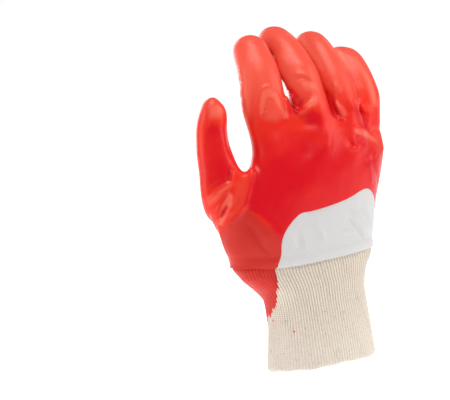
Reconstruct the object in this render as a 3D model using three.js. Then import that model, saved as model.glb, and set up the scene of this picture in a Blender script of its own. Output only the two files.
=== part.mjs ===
// A coated work glove with a knitted wrist, for the right hand, in millimetres, in the form that a worn one has.
// +Z runs from the wrist opening to the fingertips, -Y is the back of the hand and +X the little finger's side.
// The origin is the centre of the wrist opening, where the hand goes in.
import * as THREE from 'three';

// Driving dimensions of the knitted cuff
const CUFF_LENGTH = 72;
const CUFF_WIDTH = 73;
const CUFF_DEPTH = 54;
const CUFF_WALL = 2.2;
const RIB_COUNT = 72;
const RIB_DEPTH = 0.8;
const SEAM_LAP = 5.5;
const SEAM_CLEARANCE = 0.6;

// Driving dimensions of the hand
const PALM_LENGTH = 99;
const PALM_WIDTH = 108;
const PALM_DEPTH = 50;
const FINGER_LENGTH = 79;
const FINGER_WIDTH = 27;
const FINGER_DEPTH = 23.5;
const THUMB_LENGTH = 93;
const THUMB_WIDTH = 32;
const THUMB_DEPTH = 27;
const WEB_DIP = 3;
const DIGIT_NECK = 0.07;

// Driving dimensions of the coat and of the cloth that it leaves bare
const COAT_WALL = 1.6;
const CLOTH_WALL = 1.1;
const CLOTH_STEP = 0.4;
const FILM_WALL = 0.6;
const PIECE_GAP = 0.4;

const RED = 0xe8322a;
const DULL_RED = 0xcf4a44;
const WHITE = 0xe9eaec;
const CREAM = 0xe9dfcf;

// The cuff's cross-sections. at: share of CUFF_LENGTH above its rim. x, y: centre, and width, depth: full size,
// as shares of CUFF_WIDTH and CUFF_DEPTH. The last two rows lie in the hem of the hand.
const CUFF_SECTIONS = [
  { at: 0, x: 0, y: 0, width: 1.08, depth: 1.04 },
  { at: 0.15, x: 0.012, y: 0, width: 1.05, depth: 1.03 },
  { at: 0.48, x: 0.033, y: 0, width: 0.985, depth: 1 },
  { at: 0.65, x: 0.029, y: 0, width: 0.985, depth: 0.97 },
  { at: 0.79, x: 0.008, y: 0, width: 1.09, depth: 0.97 },
  { at: 0.9, x: -0.02, y: 0.01, width: 1.24, depth: 0.91 },
  { at: 1, x: -0.041, y: 0.018, width: 1.41, depth: 0.8 },
];

// The hand's cross-sections. at: share of PALM_LENGTH above the hem. x, y: centre, and width, depth: full size,
// as shares of PALM_WIDTH and PALM_DEPTH. turn: degrees about Z.
const PALM_SECTIONS = [
  { at: 0.0, x: -0.028, y: 0.02, width: 0.99, depth: 0.92, turn: 0 },
  { at: 0.04, x: -0.028, y: 0.02, width: 1.0, depth: 0.95, turn: 0 },
  { at: 0.09, x: -0.026, y: 0.02, width: 1.0, depth: 0.94, turn: 0 },
  { at: 0.17, x: -0.03, y: 0.03, width: 1.07, depth: 0.96, turn: 0 },
  { at: 0.26, x: -0.022, y: 0.03, width: 1.08, depth: 0.98, turn: 0 },
  { at: 0.39, x: 0.04, y: 0.03, width: 1.04, depth: 1.0, turn: 1 },
  { at: 0.525, x: 0.11, y: 0.03, width: 0.98, depth: 1.0, turn: 2 },
  { at: 0.66, x: 0.157, y: 0.03, width: 0.955, depth: 0.96, turn: 3 },
  { at: 0.79, x: 0.2, y: 0.03, width: 0.9, depth: 0.86, turn: 4 },
  { at: 1.0, x: 0.215, y: 0.03, width: 0.88, depth: 0.6, turn: 5 },
];

// The digits. x, y: base centre as shares of PALM_WIDTH and PALM_DEPTH. at: its height as a share of PALM_LENGTH.
// lean and bend: degrees to +X and +Y at the base, in the middle and at the tip. turn: degrees about its own line.
// long: share of the digit's length. wide: shares of its width at the same three places.
// blend: the share of its length in which it leaves the palm.
const DIGITS = [
  {
    name: 'index', x: -0.098, y: 0.14, at: 0.98,
    lean: [3, 7, 10], bend: [12, 34, 60], turn: 0,
    long: 0.87, wide: [1.02, 1.02, 0.92], blend: 0.3,
  },
  {
    name: 'middle', x: 0.177, y: -0.04, at: 0.966,
    lean: [2, 0, -2], bend: [17, 47, 77], turn: 4,
    long: 1.07, wide: [0.95, 0.89, 0.86], blend: 0.3,
  },
  {
    name: 'ring', x: 0.412, y: -0.04, at: 0.86,
    lean: [1, -1, -4], bend: [16, 42, 72], turn: 10,
    long: 1.05, wide: [0.92, 0.86, 0.82], blend: 0.3,
  },
  {
    name: 'little', x: 0.59, y: 0.24, at: 0.768,
    lean: [5, 3, -3], bend: [14, 36, 62], turn: 24,
    long: 0.87, wide: [0.84, 0.79, 0.76], blend: 0.35,
  },
  {
    name: 'thumb', x: -0.36, y: 0.1, at: 0.404,
    lean: [-32, -2, 16], bend: [8, 10, 12], turn: -8,
    long: 0.9, wide: [1.2, 0.84, 0.66], blend: 0.5,
  },
];

// The lower edge of the coat on the hand's back, and its left edge, both on lines of the mesh.
// column: where on the ring. height: share of PALM_LENGTH.
const DIP_HEIGHTS = [
  { column: 0, height: 0.355 },
  { column: 4, height: 0.357 },
  { column: 8, height: 0.366 },
  { column: 10.5, height: 0.382 },
  { column: 12, height: 0.405 },
  { column: 13.2, height: 0.43 },
  { column: 14.5, height: 0.41 },
  { column: 16, height: 0.33 },
  { column: 17, height: 0.27 },
  { column: 18, height: 0.22 },
  { column: 20, height: 0.3 },
  { column: 24, height: 0.355 },
  { column: 40, height: 0.355 },
];
// How far the hem's lower edge stands above the end of the cuff's length. rise: share of PALM_LENGTH.
const HEM_RISES = [
  { column: 0, rise: 0.035 },
  { column: 4, rise: 0.008 },
  { column: 8, rise: 0 },
  { column: 16, rise: 0.004 },
  { column: 24, rise: 0 },
  { column: 32, rise: 0.008 },
  { column: 36, rise: 0.035 },
  { column: 38, rise: 0.045 },
  { column: 40, rise: 0.035 },
];
// at: share of PALM_LENGTH. columns: how far the coat's left edge stands from column 4 there.
const DIP_SHIFTS = [
  { at: 0, columns: -0.7 },
  { at: 0.1, columns: 0.05 },
  { at: 0.18, columns: 0.45 },
  { at: 0.26, columns: 0.9 },
  { at: 0.36, columns: 1.8 },
  { at: 0.6, columns: 0.6 },
  { at: 0.85, columns: 0 },
];
// The lower edge of the coat that has soaked into the cuff. around: share of the way round from the middle of the
// back by the little finger's side. height: share of CUFF_LENGTH.
const FILM_HEIGHTS = [
  { around: 0, height: 0.66 },
  { around: 0.2, height: 0.66 },
  { around: 0.27, height: 0.77 },
  { around: 0.33, height: 0.88 },
  { around: 0.37, height: 0.77 },
  { around: 0.42, height: 0.58 },
  { around: 0.51, height: 0.4 },
  { around: 0.56, height: 0.32 },
  { around: 0.61, height: 0.24 },
  { around: 0.68, height: 0.38 },
  { around: 0.75, height: 0.55 },
  { around: 0.82, height: 0.7 },
  { around: 0.88, height: 0.84 },
  { around: 0.93, height: 0.78 },
  { around: 1, height: 0.66 },
];

// The mesh of the hand: columns run round it, and rings up it, with one finger's back over every 4 columns.
const FINGER_COLUMNS = 4;
const SIDE_COLUMNS = 4;
const BACK_COLUMNS = 4 * FINGER_COLUMNS;
const HAND_COLUMNS = 2 * (BACK_COLUMNS + SIDE_COLUMNS);
const DIGIT_COLUMNS = 4 * FINGER_COLUMNS;
const PALM_RINGS = [0, 0.04, 0.09, 0.17, 0.26, 0.355, 0.45, 0.56, 0.69, 0.78, 0.86, 0.93, 1];
const DIGIT_RINGS = [0.06, 0.14, 0.24, 0.34, 0.44, 0.54, 0.63, 0.72, 0.79, 0.86, 0.92, 0.965];
const THUMB_FIRST_RING = 4;
const DIP_RING = 5;
const DIP_COLUMN = 4;
const DIP_LAST_COLUMN = 18;
const RELAX_PASSES = 4;
const FILM_FIRST_RIB = 23;
const FILM_LAST_RIB = 63;

const rad = THREE.MathUtils.degToRad;
const clamp01 = (t) => THREE.MathUtils.clamp(t, 0, 1);
const vec = (x, y, z) => new THREE.Vector3(x, y, z);

// Falls smoothly from 1 at 0 to 0 at 1.
function fade(t) {
  const u = clamp01(t);
  return 1 - u * u * (3 - 2 * u);
}

// Reads a table at a value of its key column, along a smooth curve through its rows.
function readTable(rows, key, value, column) {
  let i = 0;
  while (i < rows.length - 2 && rows[i + 1][key] < value) i++;
  const row = (n) => rows[THREE.MathUtils.clamp(n, 0, rows.length - 1)];
  const [a, b, c, d] = [row(i - 1), row(i), row(i + 1), row(i + 2)];
  const span = c[key] - b[key];
  const t = clamp01((value - b[key]) / span);
  const slopeB = a === b ? 0 : ((c[column] - a[column]) / (c[key] - a[key])) * span;
  const slopeC = d === c ? 0 : ((d[column] - b[column]) / (d[key] - b[key])) * span;
  const [t2, t3] = [t * t, t * t * t];
  return (2 * t3 - 3 * t2 + 1) * b[column] + (t3 - 2 * t2 + t) * slopeB
    + (3 * t2 - 2 * t3) * c[column] + (t3 - t2) * slopeC;
}

// Points of a slightly squared oval at shares of the way round, from the middle of the back by the +X side.
function ovalPoints(section, shares) {
  const fine = 360;
  const round = (v) => Math.sign(v) * Math.abs(v) ** 0.9;
  const outline = [];
  for (let i = 0; i <= fine; i++) {
    const angle = rad(270 + (i / fine) * 360);
    const p = vec(round(Math.cos(angle)) * section.halfWidth, round(Math.sin(angle)) * section.halfDepth, 0);
    p.applyAxisAngle(vec(0, 0, 1), rad(section.turn));
    outline.push(p.add(vec(section.x, section.y, section.z)));
  }
  const lengths = [0];
  for (let i = 0; i < fine; i++) lengths.push(lengths[i] + outline[i].distanceTo(outline[i + 1]));
  return shares.map((share) => {
    const want = (share - Math.floor(share)) * lengths[fine];
    let i = 0;
    while (lengths[i + 1] < want) i++;
    const part = (want - lengths[i]) / (lengths[i + 1] - lengths[i]);
    return outline[i].clone().lerp(outline[i + 1], part);
  });
}

// The hand's section at a share of the palm's length.
function palmSection(at) {
  const read = (column) => readTable(PALM_SECTIONS, 'at', at, column);
  return {
    x: read('x') * PALM_WIDTH,
    y: read('y') * PALM_DEPTH,
    z: CUFF_LENGTH + at * PALM_LENGTH,
    halfWidth: (read('width') * PALM_WIDTH) / 2,
    halfDepth: (read('depth') * PALM_DEPTH) / 2,
    turn: read('turn'),
  };
}

// The share of the way round at which a column of the hand stands, drawn along by the coat's left edge.
function columnShare(column, at) {
  const reach = 5.5;
  const pull = fade(Math.abs(column - DIP_COLUMN) / reach) * readTable(DIP_SHIFTS, 'at', at, 'columns');
  return (column + pull - BACK_COLUMNS / 2) / HAND_COLUMNS;
}

// A digit's line: its centre and its side and palm directions at each share of its length.
function digitLine(digit) {
  const thumb = digit.name === 'thumb';
  const length = digit.long * (thumb ? THUMB_LENGTH : FINGER_LENGTH);
  const steps = 200;
  const rows = [0, 1, 2].map((i) => ({ at: i / 2, lean: digit.lean[i], bend: digit.bend[i], wide: digit.wide[i] }));
  const centre = vec(digit.x * PALM_WIDTH, digit.y * PALM_DEPTH, CUFF_LENGTH + digit.at * PALM_LENGTH);
  const stations = [];
  for (let i = 0; i <= steps; i++) {
    const lean = rad(readTable(rows, 'at', i / steps, 'lean'));
    const bend = rad(readTable(rows, 'at', i / steps, 'bend'));
    const along = vec(Math.sin(lean), Math.cos(lean) * Math.sin(bend), Math.cos(lean) * Math.cos(bend));
    const side = vec(1, 0, 0).applyAxisAngle(vec(0, 0, 1), rad(digit.turn));
    side.addScaledVector(along, -side.dot(along)).normalize();
    stations.push({ centre: centre.clone(), along, side, palm: along.clone().cross(side) });
    centre.addScaledVector(along, length / steps);
  }
  const halfWidth = (thumb ? THUMB_WIDTH : FINGER_WIDTH) / 2;
  const halfDepth = (thumb ? THUMB_DEPTH : FINGER_DEPTH) / 2;
  return { digit, length, halfWidth, halfDepth, stations, steps, rows };
}

// How full a digit is at a share of its length: it tapers as its table says, with a slight neck and a round tip.
function digitFullness(line, at) {
  const wide = readTable(line.rows, 'at', at, 'wide');
  const dome = (line.halfWidth * line.rows[2].wide) / line.length;
  const left = clamp01((1 - at) / dome);
  const neck = 1 - DIGIT_NECK * fade(Math.abs(at - 0.12) / 0.25);
  return Math.sqrt(1 - (1 - left) ** 2) * wide * neck;
}

// A point of a digit's surface. Column 0 is the corner of its back on the thumb's side, and 16 is a full turn.
function digitPoint(line, at, column, fullness = digitFullness(line, at)) {
  const station = line.stations[Math.round(at * line.steps)];
  const angle = rad(225 + (column / DIGIT_COLUMNS) * 360);
  return station.centre.clone()
    .addScaledVector(station.side, Math.cos(angle) * line.halfWidth * fullness)
    .addScaledVector(station.palm, Math.sin(angle) * line.halfDepth * fullness);
}

// The whole skin of the hand as points and four-sided faces, each face marked bare where the coat leaves the cloth.
function buildSkin() {
  const points = [];
  const faces = [];
  const add = (p) => points.push(p) - 1;
  const average = (list) => list.reduce((sum, p) => sum.add(p), vec(0, 0, 0)).divideScalar(list.length);
  const lines = DIGITS.map(digitLine);
  const fingers = lines.slice(0, 4);

  // The ring at the webs: each finger's base, with the corners between two fingers shared.
  const backStart = (i) => i * FINGER_COLUMNS;
  const palmStart = (i) => BACK_COLUMNS + SIDE_COLUMNS + (3 - i) * FINGER_COLUMNS;
  const top = Array.from({ length: HAND_COLUMNS }, () => []);
  fingers.forEach((line, i) => {
    for (let k = 0; k <= FINGER_COLUMNS; k++) {
      top[backStart(i) + k].push(digitPoint(line, 0, k));
      top[palmStart(i) + k].push(digitPoint(line, 0, 2 * FINGER_COLUMNS + k));
    }
  });
  for (let k = 1; k < SIDE_COLUMNS; k++) {
    top[BACK_COLUMNS + k].push(digitPoint(fingers[3], 0, FINGER_COLUMNS + k));
    top[HAND_COLUMNS - SIDE_COLUMNS + k].push(digitPoint(fingers[0], 0, 3 * FINGER_COLUMNS + k));
  }
  const topRing = top.map((list) => {
    const p = average(list);
    if (list.length > 1) p.z -= WEB_DIP;
    return p;
  });

  // The palm's rings go over from its own sections to the ring at the webs.
  const columns = topRing.map((_, c) => c);
  const endRing = ovalPoints(palmSection(1), columns.map((c) => columnShare(c, 1)));
  const dipAt = PALM_RINGS[DIP_RING];
  const grid = PALM_RINGS.map((at, j) => columns.map((c) => {
    const dip = readTable(DIP_HEIGHTS, 'column', c, 'height');
    const rise = readTable(HEM_RISES, 'column', c, 'rise');
    const low = rise + (at / dipAt) * (dip - rise);
    const here = j <= DIP_RING ? low : dip + ((at - dipAt) / (1 - dipAt)) * (1 - dip);
    const share = fade((1 - here) / 0.45);
    const p = ovalPoints(palmSection(here), [columnShare(c, here)])[0];
    return add(p.addScaledVector(topRing[c].clone().sub(endRing[c]), share));
  }));

  // The palm's faces, with an opening on the thumb's side.
  const rings = grid.length - 1;
  const sideStart = HAND_COLUMNS - SIDE_COLUMNS;
  for (let j = 0; j < rings; j++) {
    for (let c = 0; c < HAND_COLUMNS; c++) {
      if (j >= THUMB_FIRST_RING && j < THUMB_FIRST_RING + FINGER_COLUMNS && c >= sideStart) continue;
      const d = (c + 1) % HAND_COLUMNS;
      const bare = j < DIP_RING && c >= DIP_COLUMN && c < DIP_LAST_COLUMN;
      faces.push({ corners: [grid[j][c], grid[j][d], grid[j + 1][d], grid[j + 1][c]], bare });
    }
  }

  // The webs between neighbouring fingers.
  const webs = [0, 1, 2].map((i) => [1, 2, 3].map((k) => add(average([
    digitPoint(fingers[i], 0, FINGER_COLUMNS + k),
    digitPoint(fingers[i + 1], 0, DIGIT_COLUMNS - k),
  ]))));
  const crown = grid[rings];
  const fingerBase = (i) => {
    const back = [0, 1, 2, 3, 4].map((k) => crown[backStart(i) + k]);
    const front = [0, 1, 2, 3, 4].map((k) => crown[palmStart(i) + k]);
    const far = i < 3 ? webs[i] : [1, 2, 3].map((k) => crown[BACK_COLUMNS + k]);
    const near = i > 0 ? [...webs[i - 1]].reverse() : [1, 2, 3].map((k) => crown[sideStart + k]);
    return [...back, ...far, ...front, ...near];
  };
  const thumbBase = [
    ...[0, 1, 2, 3, 4].map((k) => grid[THUMB_FIRST_RING + k][0]),
    ...[1, 2, 3].map((k) => grid[THUMB_FIRST_RING + 4][HAND_COLUMNS - k]),
    ...[4, 3, 2, 1, 0].map((k) => grid[THUMB_FIRST_RING + k][sideStart]),
    ...[1, 2, 3].map((k) => grid[THUMB_FIRST_RING][sideStart + k]),
  ];

  // Each digit's rings and its rounded end.
  const roots = new Set();
  lines.forEach((line, i) => {
    let ring = i < 4 ? fingerBase(i) : thumbBase;
    ring.forEach((n) => roots.add(n));
    const offset = ring.map((n, k) => points[n].clone().sub(digitPoint(line, 0, k)));
    for (const at of DIGIT_RINGS) {
      const share = fade(at / line.digit.blend);
      const next = ring.map((_, k) => add(digitPoint(line, at, k).addScaledVector(offset[k], share)));
      for (let k = 0; k < DIGIT_COLUMNS; k++) {
        const m = (k + 1) % DIGIT_COLUMNS;
        faces.push({ corners: [ring[k], ring[m], next[m], next[k]] });
      }
      ring = next;
    }
    addDome(line, ring, faces, add);
  });
  relax(points, faces, roots);
  const normals = pointNormals(points, faces);
  webs.forEach((web, i) => {
    const up = fingers[i].stations[0].along.clone().add(fingers[i + 1].stations[0].along).normalize();
    for (const n of web) normals[n].copy(up);
  });
  for (const n of thumbBase.slice(4, 9)) normals[n].addScaledVector(vec(-0.4, 0, 0.9), 2).normalize();
  return { points, faces, normals };
}

// Eases the skin where the digits leave the palm: each point moves towards its neighbours, less so farther away.
function relax(points, faces, roots) {
  const neighbours = points.map(() => new Set());
  for (const { corners: q } of faces) {
    q.forEach((n, i) => {
      neighbours[n].add(q[(i + 1) % 4]).add(q[(i + 3) % 4]);
    });
  }
  const weights = points.map((_, n) => (roots.has(n) ? 0.6 : 0));
  for (const strength of [0.45, 0.3, 0.15]) {
    const reached = weights.map((w, n) => w === 0 && [...neighbours[n]].some((m) => weights[m] > 0));
    reached.forEach((near, n) => {
      if (near) weights[n] = strength;
    });
  }
  for (let pass = 0; pass < RELAX_PASSES; pass++) {
    const moved = points.map((p, n) => {
      const middle = vec(0, 0, 0);
      for (const m of neighbours[n]) middle.add(points[m]);
      return p.clone().lerp(middle.divideScalar(neighbours[n].size), weights[n]);
    });
    moved.forEach((p, n) => points[n].copy(p));
  }
}

// Closes a digit's end with a patch of 4 by 4 faces, so that no point gathers all the lines.
function addDome(line, ring, faces, add) {
  const last = DIGIT_RINGS[DIGIT_RINGS.length - 1];
  const rim = digitFullness(line, last);
  const dome = line.rows[2].wide;
  const { along } = line.stations[Math.round(last * line.steps)];
  const patch = [];
  for (let v = 0; v <= 4; v++) {
    for (let u = 0; u <= 4; u++) {
      if (v === 0) patch.push(ring[u]);
      else if (v === 4) patch.push(ring[12 - u]);
      else if (u === 0) patch.push(ring[16 - v]);
      else if (u === 4) patch.push(ring[4 + v]);
      else {
        const [x, y] = [(u - 2) / 2, (v - 2) / 2];
        const full = Math.max(Math.abs(x), Math.abs(y)) * rim;
        const column = ((THREE.MathUtils.radToDeg(Math.atan2(y, x)) - 225) / 360) * DIGIT_COLUMNS;
        const rise = line.halfWidth * (Math.sqrt(dome * dome - full * full) - Math.sqrt(dome * dome - rim * rim));
        patch.push(add(digitPoint(line, last, column, full).addScaledVector(along, rise)));
      }
    }
  }
  for (let v = 0; v < 4; v++) {
    for (let u = 0; u < 4; u++) {
      const n = v * 5 + u;
      faces.push({ corners: [patch[n], patch[n + 1], patch[n + 6], patch[n + 5]] });
    }
  }
}

// The direction out of the skin at each point, from all the faces that meet there.
function pointNormals(points, faces) {
  const normals = points.map(() => vec(0, 0, 0));
  for (const { corners: q } of faces) {
    const n = points[q[2]].clone().sub(points[q[0]]).cross(points[q[3]].clone().sub(points[q[1]]));
    q.forEach((c) => normals[c].add(n));
  }
  return normals.map((n) => n.normalize());
}

// A closed wall over some of a skin's faces, between two levels along the normals. Where it meets the other faces it
// stands back by half of the gap.
function wallOver(points, normals, faces, others, outer, inner) {
  const met = new Set(others.flatMap((f) => f.corners));
  const centres = new Map();
  for (const { corners: q } of faces) {
    const centre = q.reduce((sum, n) => sum.add(points[n]), vec(0, 0, 0)).divideScalar(4);
    for (const n of q) centres.set(n, [...(centres.get(n) ?? []), centre]);
  }
  const position = [];
  const index = [];
  const put = new Map();
  const vertex = (n, level) => {
    const key = `${n} ${level}`;
    if (!put.has(key)) {
      const p = points[n].clone();
      if (met.has(n)) {
        const inward = vec(0, 0, 0);
        for (const c of centres.get(n)) inward.add(c.clone().sub(p).normalize());
        p.addScaledVector(inward.normalize(), PIECE_GAP * 0.6);
      }
      put.set(key, position.length / 3);
      position.push(...p.addScaledVector(normals[n], level).toArray());
    }
    return put.get(key);
  };
  const quad = (a, b, c, d) => index.push(a, b, c, a, c, d);
  const edges = new Map();
  for (const { corners: q } of faces) {
    quad(...q.map((n) => vertex(n, outer)));
    const [a, b, c, d] = q.map((n) => vertex(n, inner));
    index.push(a, c, b, a, d, c);
    q.forEach((n, i) => {
      const m = q[(i + 1) % 4];
      if (!edges.delete(`${m} ${n}`)) edges.set(`${n} ${m}`, [n, m]);
    });
  }
  for (const [n, m] of edges.values()) quad(vertex(m, outer), vertex(n, outer), vertex(n, inner), vertex(m, inner));
  return makeGeometry(position, index);
}

function makeGeometry(position, index) {
  const geometry = new THREE.BufferGeometry();
  geometry.setAttribute('position', new THREE.Float32BufferAttribute(position, 3));
  geometry.setIndex(index);
  geometry.computeVertexNormals();
  return geometry;
}

// The cuff's outline point at a height and a share of the way round. Near the hem it follows the hand's own rings,
// so that it lies evenly inside them.
function cuffPoint(height, share, inset) {
  const at = height / CUFF_LENGTH;
  const read = (column) => readTable(CUFF_SECTIONS, 'at', at, column);
  const own = ovalPoints({
    x: read('x') * CUFF_WIDTH,
    y: read('y') * CUFF_DEPTH,
    z: height,
    halfWidth: (read('width') * CUFF_WIDTH) / 2 - inset,
    halfDepth: (read('depth') * CUFF_DEPTH) / 2 - inset,
    turn: 0,
  }, [share])[0];
  const near = fade((CUFF_LENGTH - 1 - height) / (CUFF_LENGTH / 7));
  if (near === 0) return own;
  const section = palmSection(Math.max(0, (height - CUFF_LENGTH) / PALM_LENGTH));
  const drawn = COAT_WALL + SEAM_CLEARANCE + inset;
  section.halfWidth -= drawn;
  section.halfDepth -= drawn;
  section.z = height;
  const column = share * HAND_COLUMNS;
  const [a, b] = ovalPoints(section, [Math.floor(column) / HAND_COLUMNS, Math.ceil(column) / HAND_COLUMNS]);
  return own.lerp(a.lerp(b, column - Math.floor(column)), near);
}

// The height of each ring of the cuff on each of its lines. The ring in the middle is the film's lower edge.
function cuffHeights(line) {
  const share = line / (2 * RIB_COUNT);
  const ragged = 0.011 * Math.sin(line * 1.3) + 0.008 * Math.sin(line * 2.9);
  const edge = (readTable(FILM_HEIGHTS, 'around', share, 'height') + ragged) * CUFF_LENGTH;
  const column = (share * HAND_COLUMNS + BACK_COLUMNS / 2) % HAND_COLUMNS;
  const hem = CUFF_LENGTH + readTable(HEM_RISES, 'column', column, 'rise') * PALM_LENGTH;
  const seam = hem - 2.5 * PIECE_GAP;
  const film = [edge, edge + (seam - edge) * 0.4, edge + (seam - edge) * 0.72, seam];
  const below = Math.max(edge * 0.75, edge - 0.14 * CUFF_LENGTH);
  return [0, below / 2, below, ...film, hem + SEAM_LAP];
}

// The ribbed cuff: ridges outside, smooth inside.
function buildCuff() {
  const lines = 2 * RIB_COUNT;
  const outer = [];
  const inner = [];
  for (let n = 0; n < lines; n++) {
    const drop = n % 2 === 0 ? 0 : RIB_DEPTH;
    outer.push(cuffHeights(n).map((h) => cuffPoint(h, n / lines, drop)));
    if (n % 2 === 0) inner.push(cuffHeights(n).map((h) => cuffPoint(h, n / lines, RIB_DEPTH + CUFF_WALL)));
  }
  const rows = outer[0].length;
  const position = [...outer, ...inner].flat().flatMap((p) => p.toArray());
  const out = (n, r) => (n % lines) * rows + r;
  const into = (k, r) => (lines + (k % RIB_COUNT)) * rows + r;
  const index = [];
  const quad = (a, b, c, d) => index.push(a, b, c, a, c, d);
  for (let r = 0; r < rows - 1; r++) {
    for (let n = 0; n < lines; n++) quad(out(n, r), out(n + 1, r), out(n + 1, r + 1), out(n, r + 1));
    for (let k = 0; k < RIB_COUNT; k++) quad(into(k + 1, r), into(k, r), into(k, r + 1), into(k + 1, r + 1));
  }
  for (let k = 0; k < RIB_COUNT; k++) {
    const n = 2 * k;
    const t = rows - 1;
    index.push(out(n, 0), into(k, 0), out(n + 1, 0), out(n + 1, 0), into(k, 0), into(k + 1, 0));
    index.push(out(n + 1, 0), into(k + 1, 0), out(n + 2, 0));
    index.push(out(n, t), out(n + 1, t), into(k, t), out(n + 1, t), into(k + 1, t), into(k, t));
    index.push(out(n + 1, t), out(n + 2, t), into(k + 1, t));
  }
  return makeGeometry(position, index);
}

// The coat that has soaked into the ribs: a film over part of the cuff's rings, below the hem.
function buildFilm() {
  const points = [];
  const faces = [];
  const rows = cuffHeights(0).length - 4;
  const lines = 2 * RIB_COUNT;
  for (let n = 2 * FILM_FIRST_RIB; n <= 2 * FILM_LAST_RIB; n++) {
    const heights = cuffHeights(n).slice(3, -1);
    points.push(...heights.map((h) => cuffPoint(h, n / lines, n % 2 === 0 ? 0 : RIB_DEPTH)));
    const first = points.length - rows;
    if (n === 2 * FILM_FIRST_RIB) continue;
    for (let r = 0; r < rows - 1; r++) {
      faces.push({ corners: [first - rows + r, first + r, first + r + 1, first - rows + r + 1] });
    }
  }
  const normals = pointNormals(points, faces);
  return wallOver(points, normals, faces, [], PIECE_GAP + FILM_WALL, PIECE_GAP);
}

const skin = buildSkin();
const coated = skin.faces.filter((f) => !f.bare);
const bare = skin.faces.filter((f) => f.bare);
const cloth = { outer: -CLOTH_STEP, inner: -CLOTH_STEP - CLOTH_WALL };

const glove = new THREE.Group();
glove.name = 'coated_work_glove';
function addPart(name, geometry, color, roughness) {
  const mesh = new THREE.Mesh(geometry, new THREE.MeshStandardMaterial({ color, roughness }));
  mesh.name = name;
  glove.add(mesh);
}
addPart('pvc_coating', wallOver(skin.points, skin.normals, coated, bare, 0, -COAT_WALL), RED, 0.35);
addPart('jersey_back', wallOver(skin.points, skin.normals, bare, coated, cloth.outer, cloth.inner), WHITE, 0.9);
addPart('knit_cuff', buildCuff(), CREAM, 0.95);
addPart('cuff_coating', buildFilm(), DULL_RED, 0.5);

export default glove;
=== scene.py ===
import math

import bmesh
import bpy
import numpy as np
from mathutils import Matrix, Vector
from mathutils.bvhtree import BVHTree


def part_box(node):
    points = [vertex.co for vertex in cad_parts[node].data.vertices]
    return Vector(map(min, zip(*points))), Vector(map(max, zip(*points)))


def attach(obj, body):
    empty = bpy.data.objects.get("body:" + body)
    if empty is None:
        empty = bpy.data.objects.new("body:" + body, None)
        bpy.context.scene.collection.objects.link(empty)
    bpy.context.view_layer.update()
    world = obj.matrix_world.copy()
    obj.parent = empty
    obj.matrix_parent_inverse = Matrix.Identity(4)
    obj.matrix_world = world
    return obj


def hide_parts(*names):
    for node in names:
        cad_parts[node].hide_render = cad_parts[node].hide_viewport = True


bl_info = {
    "name": "Coated work glove",
    "version": (1, 0, 0),
    "blender": (4, 5, 0),
    "location": "3D View > Sidebar > Glove",
    "description": "Dresses the packed frame of a knit-wrist glove dipped in PVC",
    "category": "Object",
}

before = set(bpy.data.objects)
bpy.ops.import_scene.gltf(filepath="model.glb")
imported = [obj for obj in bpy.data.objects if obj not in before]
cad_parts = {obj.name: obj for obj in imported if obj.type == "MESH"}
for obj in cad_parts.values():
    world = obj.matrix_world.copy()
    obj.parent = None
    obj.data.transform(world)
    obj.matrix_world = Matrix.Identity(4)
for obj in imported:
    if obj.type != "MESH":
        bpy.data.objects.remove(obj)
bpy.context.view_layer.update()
MM = 0.001


def linear(hex_colour, alpha=None):
    """Turn an sRGB hex colour into the linear colour that shaders and lights use."""
    value = int(hex_colour.lstrip("#"), 16)
    shares = [((value >> shift) & 255) / 255 for shift in (16, 8, 0)]
    colour = tuple(s / 12.92 if s <= 0.04045 else ((s + 0.055) / 1.055) ** 2.4 for s in shares)
    return colour if alpha is None else colour + (alpha,)


def solid(colour):
    """Give a property's colour the fourth channel that a shader's socket wants."""
    return (*colour[:3], 1.0)


# The photograph's view: the camera stands 25 degrees to the thumb's side of the hand's back and
# 8 degrees up, and is rolled by 8 degrees.
AZIMUTH = math.radians(-25)
ELEVATION = math.radians(8)
ROLL = math.radians(8)
RIGHT = Vector((math.cos(AZIMUTH), math.sin(AZIMUTH), 0))
AHEAD = Vector((
    -math.sin(AZIMUTH) * math.cos(ELEVATION),
    math.cos(AZIMUTH) * math.cos(ELEVATION),
    -math.sin(ELEVATION),
))
UP = RIGHT.cross(AHEAD)

# The sides from which a fold is drawn on the hand: the axis of its first number, of its second, and
# the line of sight.
VIEWS = {
    "back": (RIGHT, UP, AHEAD),
    "palm": (Vector((1, 0, 0)), Vector((0, 0, 1)), Vector((0, -1, 0))),
    "thumb": (Vector((0, 1, 0)), Vector((0, 0, 1)), Vector((1, 0, 0))),
    "little": (Vector((0, 1, 0)), Vector((0, 0, 1)), Vector((-1, 0, 0))),
}

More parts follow.
